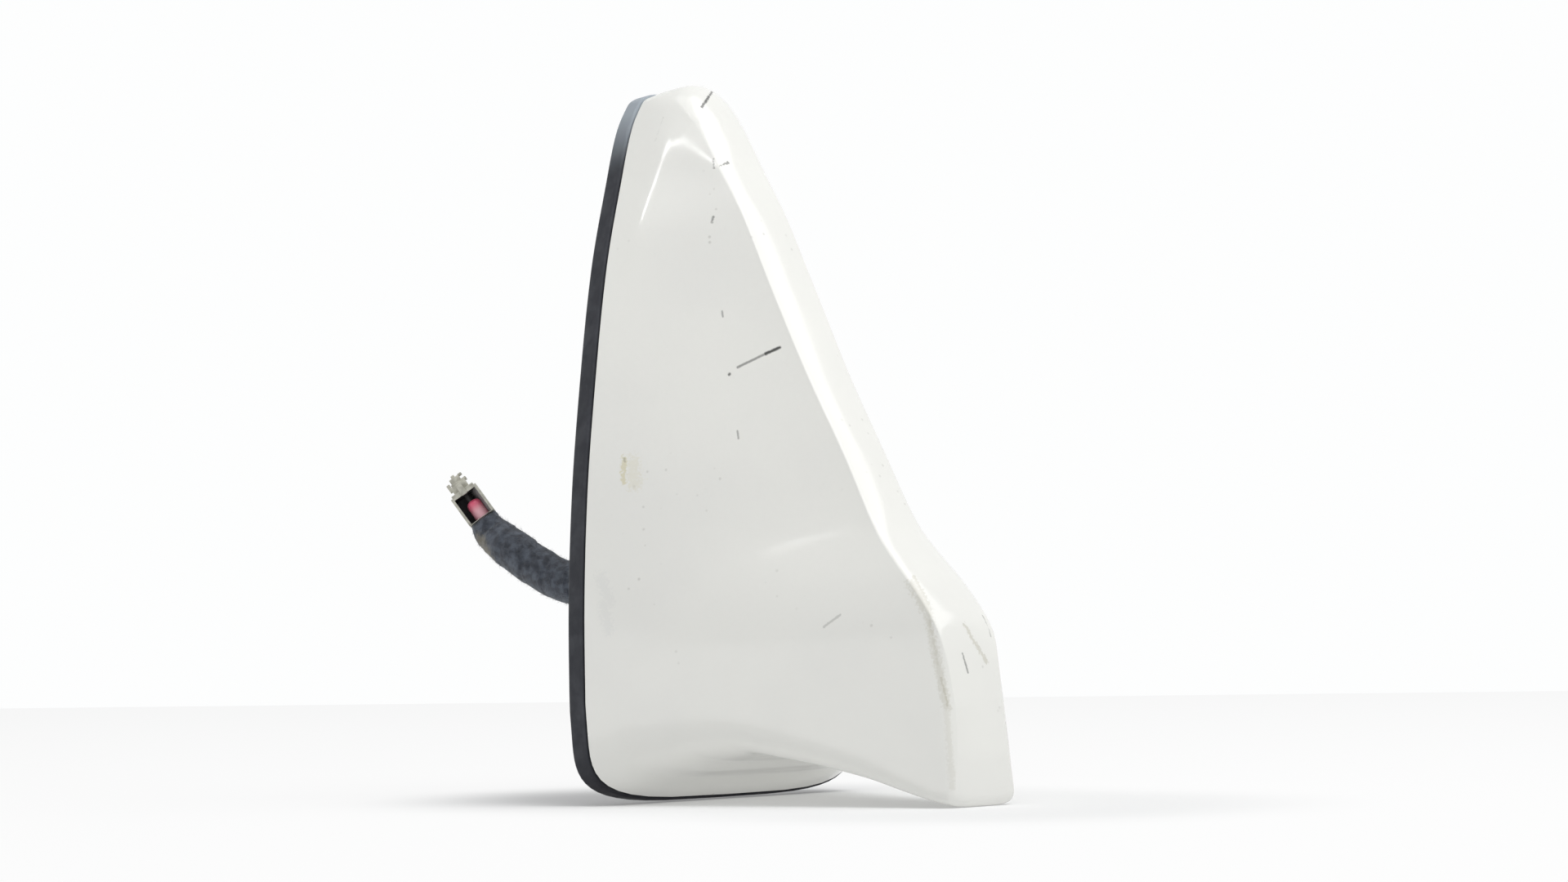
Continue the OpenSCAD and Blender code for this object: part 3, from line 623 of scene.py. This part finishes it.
stud_faces = [f for f in casting.faces if near_stud(f)]
stud_geom = stud_faces + list({e for f in stud_faces for e in f.edges}) + list(
    {v for f in stud_faces for v in f.verts})
bmesh.ops.bisect_plane(casting, geom=stud_geom, plane_co=(0, 0, STUD_TOP * MM), plane_no=(0, 0, 1))
gone = [v for v in casting.verts if v.co.z < (STUD_TOP - 0.05) * MM and v.co.xy.length < ROUND_STUD]
bmesh.ops.delete(casting, geom=gone, context="VERTS")
casting_rim = [e for e in casting.edges if e.is_boundary]
bmesh.ops.triangle_fill(casting, use_beauty=True, edges=casting_rim)
bmesh.ops.recalc_face_normals(casting, faces=casting.faces)
cast_plate = piece(casting, "base_casting", ["base_plate"], sharp=35)

# %% The thread
PITCH_MM, TEETH, TURN_STEPS = 1.5, 17, 72
TIP_R, NECK_CUT = 5.9, 0.85         # the stud's radius at its tip, and how far its neck is turned down
TOOTH = [(0.0, 6.12), (0.1, 6.1), (0.62, 6.94), (0.72, 7.0), (0.88, 7.0), (0.98, 6.94)]
thread = bmesh.new()
profile, start = [], -STUD_LEN - 3 * PITCH_MM
for tooth in range(TEETH):
    for climb, radius in TOOTH:
        profile.append(thread.verts.new(Vector((radius, 0, start + tooth * PITCH_MM + climb)) * MM))
chain = [thread.edges.new(pair) for pair in zip(profile, profile[1:])]
bmesh.ops.spin(thread, geom=profile + chain, cent=(0, 0, 0), axis=(0, 0, 1), angle=math.tau,
               dvec=(0, 0, PITCH_MM * MM / TURN_STEPS), steps=TURN_STEPS, use_merge=False)
bmesh.ops.remove_doubles(thread, verts=thread.verts, dist=2e-6)
for height, keep_above in ((-STUD_LEN, True), (STUD_TOP, False)):
    bmesh.ops.bisect_plane(thread, geom=thread.verts[:] + thread.edges[:] + thread.faces[:],
                           plane_co=(0, 0, height * MM), plane_no=(0, 0, 1),
                           clear_inner=keep_above, clear_outer=not keep_above)
for vert in thread.verts:            # the lead-in chamfer at the tip, and the plain neck
    tip = vert.co.z / MM + STUD_LEN
    neck = max(0.0, (vert.co.z / MM + 1.2) * 1.2)
    most = min(TIP_R + tip * 0.8, STUD_R) - min(neck, NECK_CUT)
    radius = vert.co.xy.length / MM
    if radius > most:
        vert.co.xy *= most / radius
bores = []
for height in (-STUD_LEN, STUD_TOP):
    ring = bmesh.ops.create_circle(thread, cap_ends=False, segments=64, radius=STUD_BORE * MM,
                                   matrix=Matrix.Translation((0, 0, height * MM)))
    bore_edges = list({e for v in ring["verts"] for e in v.link_edges})
    outer_edges = [e for e in thread.edges if e.is_boundary
                   and all(abs(v.co.z / MM - height) < 0.02 for v in e.verts)]
    bmesh.ops.triangle_fill(thread, use_beauty=True, edges=outer_edges + bore_edges)
    bores.append(bore_edges)
bmesh.ops.bridge_loops(thread, edges=bores[0] + bores[1])
bmesh.ops.recalc_face_normals(thread, faces=thread.faces)
stud_thread = piece(thread, "stud_thread", ["base_plate"], sharp=30)


# %% [markdown]
# ## Finishes
#
# Each finish is a small node tree on the piece's Object coordinates, which are
# the part's own metres, so a stain stays where it is put. `Finish` keeps the
# wiring short. Values that are the same all over are typed into the shader's own
# sockets, and only what varies is wired.

# %% The finish helper
class Finish:
    """One procedural material, built up a node at a time."""

    def __init__(self, name, rough=0.5, metal=0.0, specular=0.5):
        self.material = bpy.data.materials.new(name)
        self.material.use_nodes = True
        self.tree = self.material.node_tree
        self.shader = self.tree.nodes["Principled BSDF"]
        self.shader.inputs["Roughness"].default_value = rough
        self.shader.inputs["Metallic"].default_value = metal
        self.shader.inputs["Specular IOR Level"].default_value = specular
        self.place = self.add("ShaderNodeTexCoord").outputs["Object"]

    def add(self, kind, inputs=(), **settings):
        node = self.tree.nodes.new(kind)
        for key, value in settings.items():
            setattr(node, key, value)
        for key, value in dict(inputs).items():
            self.feed(node.inputs[key], value)
        return node

    def feed(self, socket, value):
        if isinstance(value, bpy.types.NodeSocket):
            self.tree.links.new(value, socket)
        else:
            socket.default_value = value

    def math(self, kind, a, b=0.0, clamp=False):
        return self.add("ShaderNodeMath", {0: a, 1: b}, operation=kind, use_clamp=clamp).outputs[0]

    def vector(self, kind, a, b=(0, 0, 0), out=0):
        return self.add("ShaderNodeVectorMath", {0: a, 1: b}, operation=kind).outputs[out]

    def noise(self, scale, detail, rough=0.5):
        return self.add("ShaderNodeTexNoise", {"Vector": self.place, "Scale": scale, "Detail": detail,
                                               "Roughness": rough}).outputs["Fac"]

    def ramp(self, value, low, high, to_low=0.0, to_high=1.0):
        return self.add("ShaderNodeMapRange", {0: value, 1: low, 2: high, 3: to_low, 4: to_high},
                        interpolation_type="SMOOTHSTEP").outputs[0]

    def mix(self, factor, a, b):
        pair = [c if isinstance(c, bpy.types.NodeSocket) else (*c, 1.0) for c in (a, b)]
        return self.add("ShaderNodeMix", {0: factor, 6: pair[0], 7: pair[1]}, data_type="RGBA").outputs[2]

    def tones(self, scale, detail, dark, light, low=0.3, high=0.7):
        """Two near tones, mixed by a noise."""
        return self.mix(self.ramp(self.noise(scale, detail), low, high), dark, light)

    def colour(self, value):
        self.feed(self.shader.inputs["Base Color"], value)

    def rough(self, value):
        self.feed(self.shader.inputs["Roughness"], value)

    def bump(self, height, depth, strength):
        node = self.add("ShaderNodeBump", {"Height": height, "Strength": strength, "Distance": depth})
        self.feed(self.shader.inputs["Normal"], node.outputs[0])

    def streak(self, a, b, width, ragged=0.3, grain=None):
        """A mark along the segment a-b, in millimetres, 1 in its middle."""
        a, b = Vector(a) * MM, Vector(b) * MM
        along_it = b - a
        from_a = self.vector("SUBTRACT", self.place, a)
        part = self.math("DIVIDE", self.vector("DOT_PRODUCT", from_a, along_it, 1),
                         max(along_it.length_squared, 1e-12), True)
        beside = self.add("ShaderNodeVectorMath", {0: along_it, "Scale": part}, operation="SCALE").outputs[0]
        away = self.vector("LENGTH", self.vector("SUBTRACT", from_a, beside), out=1)
        if grain is not None:
            shift = self.math("MULTIPLY", self.math("SUBTRACT", grain, 0.5), 2.5 * ragged * width * MM)
            away = self.math("ADD", away, shift)
        return self.ramp(away, width * MM, 0.25 * width * MM)


def wear(piece_object, finish, index=0):
    """Puts a finish on a piece."""
    while len(piece_object.data.materials) <= index:
        piece_object.data.materials.append(None)
    piece_object.data.materials[index] = finish.material
    print(piece_object.name, "wears", finish.material.name)


# %% [markdown]
# ### White paint
#
# The paint is a warm white gloss, scuffed and stained by years on a roof. Faint
# cloudy grime and fine specks cover it all. Each larger mark is a streak along
# two or three points of the cover, with a ragged edge from a noise. Marks of one
# colour are joined with a maximum, so that they never darken twice. A material
# holds only so many nodes, so the list of marks stays short.

# %% Marks on the paint
SCRATCH, GRIME, STAIN, SMUDGE = (0.03, 0.03, 0.028), (0.33, 0.3, 0.19), (0.6, 0.55, 0.33), (0.5, 0.52, 0.53)
# Each mark: its colour, strength, half width in mm, raggedness, and its points in mm.
MARKS = [
    (SCRATCH, 0.62, 0.34, 0.2, [(31.8, 10.7, 25.3), (33.7, 7.8, 29.6)]),
    (SCRATCH, 0.95, 0.42, 0.2, [(33.6, 7.9, 29.4), (34.4, 6.6, 31.5)]),
    (SCRATCH, 0.8, 0.38, 0.2, [(30.7, 11.7, 24.1), (30.8, 11.7, 24.2)]),
    (SCRATCH, 0.6, 0.32, 0.6, [(57.8, 8.2, 19.4), (58.8, 7.9, 19.5)]),
    (SCRATCH, 0.5, 0.26, 0.3, [(41.9, 10.3, 22.2), (40.9, 10.4, 22.4)]),
    (SCRATCH, 0.5, 0.26, 0.3, [(20.8, 12.9, 26.2), (19.5, 13, 26.4)]),
    (SCRATCH, 0.2, 0.28, 0.5, [(77.9, 8.1, 9.4), (73.8, 9.8, 8.8)]),
    (SCRATCH, 0.85, 0.36, 0.6, [(79.3, 3.4, 14.3), (81.3, 0.8, 13.4), (82.8, -1.6, 12)]),
    (SCRATCH, 0.45, 0.26, 0.8, [(69.2, 5.6, 18.3), (67.5, 5.9, 18.6)]),
    (SCRATCH, 0.7, 0.32, 1, [(67.8, 5.1, 19.3), (68.5, 3.4, 19.6)]),
    (SCRATCH, 0.28, 0.32, 0.4, [(-14, 13.7, 43.4), (-12.3, 12.2, 45.9)]),
    (SCRATCH, 0.35, 0.24, 0.5, [(-14.2, -5.2, 61.5), (-17.8, -5.4, 62.7)]),
    (SCRATCH, 0.55, 0.3, 0.5, [(-20.5, 2.4, 63.2), (-23.6, 1.8, 63.5)]),
    (SCRATCH, 0.25, 0.3, 0.3, [(-32.1, -6.2, 63.6), (-35.7, -6.4, 63.6)]),
    (GRIME, 0.26, 1.4, 0.8, [(-8.3, 6.2, 57), (-12.5, 6.6, 59.7)]),
    (GRIME, 0.26, 1.1, 0.6, [(-12.5, 6.4, 60), (-22.1, 7.1, 62), (-29, 7, 63)]),
    (GRIME, 0.14, 0.8, 0.6, [(-29, 7, 63), (-42, 7.3, 63)]),
    (GRIME, 0.3, 0.5, 1, [(-7.2, 5.3, 56.6), (-10.8, 5.8, 59.2), (-16.5, 6.9, 61.2)]),
    (GRIME, 0.35, 0.45, 1, [(-14.8, 6.8, 60.8), (-22.1, 7.1, 62)]),
    (GRIME, 0.45, 0.35, 0.8, [(-24.3, 7.1, 62.4), (-28.8, 6.8, 63.1)]),
    (GRIME, 0.34, 0.6, 1, [(-15.8, 0.3, 62.4), (-18, -0.6, 62.9), (-21.9, -3, 63.4)]),
    (STAIN, 0.6, 0.8, 1, [(18, 23.5, 9.3), (14.2, 24.2, 9.5)]),
    (STAIN, 0.22, 2, 0.9, [(17.2, 23.2, 10.8), (13.8, 23.5, 11.2)]),
    (SCRATCH, 0.3, 0.3, 0.9, [(18.1, 23.5, 9.3), (17.7, 23.5, 9.4)]),
    (SMUDGE, 0.12, 1.5, 0.9, [(-1.7, 28.5, 6.5), (-6, 28.3, 8)]),
    (SMUDGE, 0.12, 1.4, 0.9, [(-6.3, 28.8, 7.1), (-10.8, 28.9, 8)]),
]
print("marks:", len(MARKS))

# %% White paint
paint = Finish("white_paint", rough=0.12)
base = paint.tones(38, 4, (0.80, 0.80, 0.765), (0.775, 0.775, 0.745), 0.35)
specks = paint.add("ShaderNodeTexVoronoi", {"Vector": paint.place, "Scale": 420.0}).outputs["Distance"]
patches = paint.ramp(paint.noise(60, 2), 0.56, 0.66)
speck_mask = paint.math("MULTIPLY", paint.ramp(specks, 0.16, 0.05), patches)
marked = paint.mix(paint.math("MULTIPLY", speck_mask, 0.35), base, (0.33, 0.32, 0.29))
grain = paint.noise(2200, 2)
for tint in (SMUDGE, STAIN, GRIME, SCRATCH):
    cover_by = 0.0
    for colour, strength, half, ragged, points in MARKS:
        if colour == tint:
            for a, b in zip(points, points[1:]):
                mask = paint.math("MULTIPLY", paint.streak(a, b, half, ragged, grain), strength)
                cover_by = paint.math("MAXIMUM", mask, cover_by)
    marked = paint.mix(cover_by, marked, tint)
paint.colour(marked)
paint.rough(paint.ramp(paint.noise(150, 3), 0.3, 0.7, 0.1, 0.15))
paint.bump(paint.noise(520, 2), 0.00002, 0.25)
wear(cover, paint)
print("nodes in the paint:", len(paint.tree.nodes))

# %% [markdown]
# ### Rubber
#
# The gasket is a dusty black rubber. Round the nose its colour is painted a pale blue grey, a painted
# reflection of the bright light above. At the rear it is painted nearly black, a painted shade where it
# meets the table. Painting both by hand would need an image, so they follow the piece's own X instead.

# %% Rubber
NOSE_REFLECTION_SPAN, REAR_SHADE_SPAN = (0.068, 0.082), (-0.03, -0.038)      # where each change starts and ends, in metres
rubber = Finish("dark_rubber", rough=0.6, specular=0.3)
dust = rubber.ramp(rubber.noise(240, 5), 0.45, 0.75)
along_fin = rubber.add("ShaderNodeSeparateXYZ", {"Vector": rubber.place}).outputs["X"]
plain = rubber.mix(dust, (0.028, 0.03, 0.037), (0.044, 0.047, 0.056))
# Painted reflection: pale blue grey towards the nose.
with_nose_reflection = rubber.mix(rubber.ramp(along_fin, *NOSE_REFLECTION_SPAN), plain, (0.34, 0.38, 0.42))
# Painted shade: nearly black towards the rear.
rubber.colour(rubber.mix(rubber.ramp(along_fin, *REAR_SHADE_SPAN), with_nose_reflection, (0.014, 0.014, 0.019)))
rubber.rough(rubber.ramp(rubber.noise(400, 3), 0.3, 0.7, 0.52, 0.72))
rubber.bump(rubber.noise(1500, 4), 0.00005, 0.5)
for name in ("base_seal", "vent_plug", "cable_grommet"):
    wear(nodes[name], rubber)
wear(rubber_gasket, rubber)

# %% [markdown]
# ### Fleece tape
#
# Fleece tape is a dull blue grey felt. A fine noise gives its bumps, a coarser
# one its mottled tone, and a sheen its soft edge. A beige stain lies across it,
# made as the marks on the paint are.

# %% Fleece tape
fleece = Finish("fleece_tape", rough=0.95, specular=0.2)
felt_tones = fleece.tones(700, 4, (0.03, 0.036, 0.05), (0.11, 0.13, 0.165), 0.3, 0.72)
tape_end = ROUTE[-1] + to_back * 2.5
stain_from = tape_end - to_top * 4.4 - to_right * 0.6
stain_to = tape_end - to_top * 6.8 + to_right * 0.6
beige = fleece.streak(stain_from, stain_to, 2.6, 0.5, fleece.noise(1500, 3))
fleece.colour(fleece.mix(fleece.math("MULTIPLY", beige, 0.6), felt_tones, (0.3, 0.27, 0.2)))
fleece.bump(fleece.noise(2600, 5, rough=0.7), 0.00025, 0.9)
fleece.shader.inputs["Sheen Weight"].default_value = 0.35
fleece.shader.inputs["Sheen Roughness"].default_value = 0.6
wear(tape, fleece)
wear(fuzz, fleece)

# %% [markdown]
# ### The plug
#
# The housing is an ivory plastic gone dull. Inside its window its colour is painted nearly black, a painted
# shade. The sloped wall is painted grey, a painted light for the little light that it catches. The lead's
# jacket is a vivid pink that pales towards the tape.

# %% Plug finishes
FINE_DEPTH = 0.00003            # the height of a moulded surface's bumps, in metres
ivory = Finish("plug_plastic", rough=0.45)
ivory.colour(ivory.tones(900, 4, (0.62, 0.61, 0.53), (0.42, 0.41, 0.35), 0.35))
# Painted shade: the window's inside is coloured nearly black.
pit_painted_shade = Finish("plug_pit", rough=0.6)
pit_painted_shade.colour(pit_painted_shade.tones(700, 3, (0.02, 0.02, 0.022), (0.055, 0.05, 0.05)))
# Painted light: the sloped wall is coloured grey for the light that it catches.
pit_side_painted_light = Finish("plug_pit_side", rough=0.6)
pit_side_painted_light.colour(pit_side_painted_light.tones(700, 3, (0.2, 0.2, 0.2), (0.27, 0.265, 0.26)))
for index, finish in enumerate((ivory, pit_painted_shade, pit_side_painted_light)):
    finish.bump(finish.noise(2500, 3), FINE_DEPTH, 0.4)
    wear(plug_shell, finish, index)
wear(collar, ivory)

pink = Finish("pink_jacket", rough=0.35)
vivid = pink.tones(500, 3, (0.86, 0.12, 0.22), (0.9, 0.2, 0.3))
pale = pink.streak(plug_place @ Vector((-0.4, -0.25, 1)), plug_place @ Vector((1.2, -0.25, 1)), 2.2)
pink.colour(pink.mix(pale, vivid, (0.92, 0.55, 0.6)))
pink.bump(pink.noise(1800, 2), FINE_DEPTH, 0.3)
wear(lead_tip, pink)

# %% [markdown]
# ### The pieces inside
#
# The boards, coil and leads are closed in, yet they are real pieces, so each has
# its own finish too.

# %% Inner finishes
def simple(name, dark, light, rough, metal):
    """A finish of two near tones with a fine surface."""
    made = Finish(name, rough=rough, metal=metal)
    made.colour(made.tones(300, 4, dark, light, 0.35, 0.68))
    made.rough(made.ramp(made.noise(600, 3), 0.3, 0.7, rough * 0.85, min(1, rough * 1.2)))
    made.bump(made.noise(1500, 3), FINE_DEPTH, 0.5)
    return made


# Each finish: its two tones, its roughness, and 1 if it is metal.
INNER = {
    "cast_metal": ((0.42, 0.43, 0.45), (0.6, 0.61, 0.63), 0.42, 1.0),
    "frame_plastic": ((0.04, 0.04, 0.043), (0.065, 0.065, 0.07), 0.5, 0.0),
    "screw_steel": ((0.4, 0.41, 0.43), (0.56, 0.57, 0.59), 0.3, 1.0),
    "board_green": ((0.015, 0.11, 0.05), (0.03, 0.17, 0.08), 0.35, 0.0),
    "chip_black": ((0.018, 0.018, 0.02), (0.035, 0.035, 0.038), 0.5, 0.0),
    "tinned_steel": ((0.58, 0.59, 0.6), (0.74, 0.75, 0.76), 0.3, 1.0),
    "ceramic": ((0.58, 0.54, 0.46), (0.7, 0.66, 0.58), 0.7, 0.0),
    "silvered": ((0.72, 0.72, 0.7), (0.84, 0.84, 0.82), 0.25, 1.0),
    "copper": ((0.6, 0.28, 0.14), (0.78, 0.42, 0.24), 0.3, 1.0),
    "former_plastic": ((0.68, 0.66, 0.6), (0.8, 0.78, 0.72), 0.5, 0.0),
    "gold_contact": ((0.72, 0.52, 0.2), (0.88, 0.7, 0.32), 0.25, 1.0),
    "lead_jacket": ((0.03, 0.03, 0.033), (0.06, 0.06, 0.065), 0.5, 0.0),
}
finishes = {name: simple(name, *facts) for name, facts in INNER.items()}
for row in frame["record"]["subparts"]:
    if row["material_slot"] in finishes:
        wear(nodes[row["node"]], finishes[row["material_slot"]])
for made in (cast_plate, stud_thread):
    wear(made, finishes["cast_metal"])
wear(nodes["plug_contact"], pit_painted_shade)      # painted with the pit's painted shade, so that it hardly shows in the plug
print("finishes:", len(bpy.data.materials))

# %% [markdown]
# ## Table, backdrop and light
#
# The antenna stands on a white table with a white backdrop. The table leans in
# the part's frame, since it touches the gasket's rear edge and the tail. What the
# camera sees of it is partly a white of its own, and more so away from the part,
# so that the shadow stays and the far end meets the backdrop. Other rays find
# mostly white paint, so the light that it throws back on the part's underside is
# real. Seen from below, it vanishes.

# %% The table
LIP_OUT, TAIL_DROP = 0.4, 1.8       # the gasket past the foot, and the tail's rear edge below its top
TABLE_LEAN = math.atan2(-TAIL - REAR - LIP_OUT, HIGH - TAIL_DROP)
TABLE_REACH, BACK_EDGE, BACK_SKEW = 3.0, 1.41, 0.23     # in metres; its far edge runs a little askew
SINK = 0.00005                      # it lies this far below what it carries, in metres
table_up = Vector((math.cos(TABLE_LEAN), 0, math.sin(TABLE_LEAN)))
touching = min(table_up.dot(v.co) for made in (cover, rubber_gasket) for v in made.data.vertices)
table_right = (to_right - table_up * to_right.dot(table_up)).normalized()
table_near = table_right.cross(table_up)
view_foot = camera.location - table_up * (camera.location.dot(table_up) - touching)
board = bmesh.new()
bmesh.ops.create_grid(board, x_segments=1, y_segments=1, size=1)
for vert in board.verts:
    side_way = vert.co.x * TABLE_REACH
    depth = TABLE_REACH if vert.co.y < 0 else -(BACK_EDGE - BACK_SKEW * side_way)
    vert.co = view_foot + table_right * side_way + table_near * depth - table_up * SINK
mesh = bpy.data.meshes.new("table")
board.to_mesh(mesh)
board.free()
table = bpy.data.objects.new("table", mesh)
bpy.context.scene.collection.objects.link(table)
print("table touches at", round(touching / MM, 2), "mm; faces up:",
      mesh.polygons[0].normal.dot(table_up) > 0)

# %% Table and world finish
NEAR_WHITE, FAR_WHITE = 0.2, 0.85       # the table's own white, by the part and away from it
TABLE_GLOW, AMBIENT = 0.38, 0.38        # for other rays: that white's share, and the world's strength
NEAR_REACH = 75                         # how far from the part the shadow is kept, in mm


def seen_directly(tree):
    """1 for camera rays and for rays that meet a surface by gloss or through glass."""
    path = tree.nodes.new("ShaderNodeLightPath")
    seen = path.outputs["Is Camera Ray"]
    for ray in ("Is Glossy Ray", "Is Transmission Ray"):
        either = tree.nodes.new("ShaderNodeMath")
        either.operation = "MAXIMUM"
        tree.links.new(seen, either.inputs[0])
        tree.links.new(path.outputs[ray], either.inputs[1])
        seen = either.outputs[0]
    return seen


cloth = Finish("table_white", rough=1.0, specular=0.0)
cloth.shader.inputs["Base Color"].default_value = (0.82, 0.825, 0.825, 1)
near = cloth.streak((-REAR, 0, 0), (TAIL, 0, HIGH - 2), NEAR_REACH)
white = cloth.ramp(near, 0.0, 1.0, FAR_WHITE, NEAR_WHITE)
share = cloth.add("ShaderNodeMapRange", {"Value": seen_directly(cloth.tree), "To Min": TABLE_GLOW,
                                         "To Max": white}).outputs["Result"]
glow = cloth.add("ShaderNodeEmission")
lit = cloth.add("ShaderNodeMixShader", {0: share, 1: cloth.shader.outputs[0], 2: glow.outputs[0]})
facing = cloth.add("ShaderNodeNewGeometry").outputs["Backfacing"]
clear = cloth.add("ShaderNodeBsdfTransparent")
pick = cloth.add("ShaderNodeMixShader", {0: facing, 1: lit.outputs[0], 2: clear.outputs[0]})
cloth.feed(cloth.tree.nodes["Material Output"].inputs["Surface"], pick.outputs[0])
wear(table, cloth)

world = bpy.data.worlds.new("studio")
bpy.context.scene.world = world
world.use_nodes = True
sky = world.node_tree.nodes["Background"]
sky.inputs["Color"].default_value = (0.985, 0.99, 0.99, 1)
level = world.node_tree.nodes.new("ShaderNodeMapRange")
level.inputs["To Min"].default_value = AMBIENT
world.node_tree.links.new(seen_directly(world.node_tree), level.inputs["Value"])
world.node_tree.links.new(level.outputs["Result"], sky.inputs["Strength"])
print("ambient light:", AMBIENT)


# %% [markdown]
# Two large soft lamps hang over the nose, one a little behind it, so that the
# band comes out brighter than the side, and a weak one fills in from the left.
# Three tiny ones only show as reflections. They draw the thin light line along
# the bend in the side: its corner, its front leg and its low leg. They have
# narrow beams, so that they don't show in the side's hollow at the tail too, and
# a narrow beam is so bright that a fraction of a milliwatt is enough.

# %% Lamps
def lamp(name, aim, way, distance, size, strength, spread=180):
    """A flat lamp that faces a point of the part from a given way.

    The point is in mm, distance and size in metres, strength in watts, and
    spread in degrees.
    """
    light = bpy.data.lights.new(name, "AREA")
    light.shape = "RECTANGLE"
    light.size, light.size_y = size
    light.energy, light.spread = strength, math.radians(spread)
    back = way.normalized()
    side = (to_right - back * to_right.dot(back)).normalized()
    made = bpy.data.objects.new(name, light)
    axes = Matrix((side, back.cross(side), back)).transposed().to_4x4()
    made.matrix_world = Matrix.Translation(Vector(aim) * MM + back * distance) @ axes
    bpy.context.scene.collection.objects.link(made)


def in_view(right, top, back):
    """A direction given along the camera's axes."""
    return to_right * right + to_top * top + to_back * back


MIDDLE = (18, 0, 28)
ARCH_MIDDLE = (70, 12, 13)
lamp("top_light", MIDDLE, in_view(0.1, 0.95, 0.3), 1.1, (1.0, 1.0), 4.8)
lamp("back_light", MIDDLE, in_view(0.5, 0.8, 0.2), 1.1, (1.0, 1.0), 6.7)
lamp("low_fill", MIDDLE, in_view(-0.62, 0.06, 0.78), 1.2, (0.7, 0.5), 1.0)
lamp("corner_spark", ARCH_MIDDLE, in_view(-0.441, 0.688, 0.577), 0.35, (0.043, 0.008), 0.0002, 16)
lamp("front_leg_spark", ARCH_MIDDLE, in_view(-0.372, 0.658, 0.651), 1.5, (0.055, 0.128), 0.00037, 4)
lamp("low_leg_spark", ARCH_MIDDLE, in_view(-0.532, 0.65, 0.544), 1.5, (0.075, 0.133), 0.00044, 4)
print("lamps:", len(bpy.data.lights))

# %% [markdown]
# ## Last settings
#
# The Standard view shows a colour as it is written.

# %% View settings
scene = bpy.context.scene
scene.view_settings.view_transform = "Standard"
bpy.context.view_layer.update()
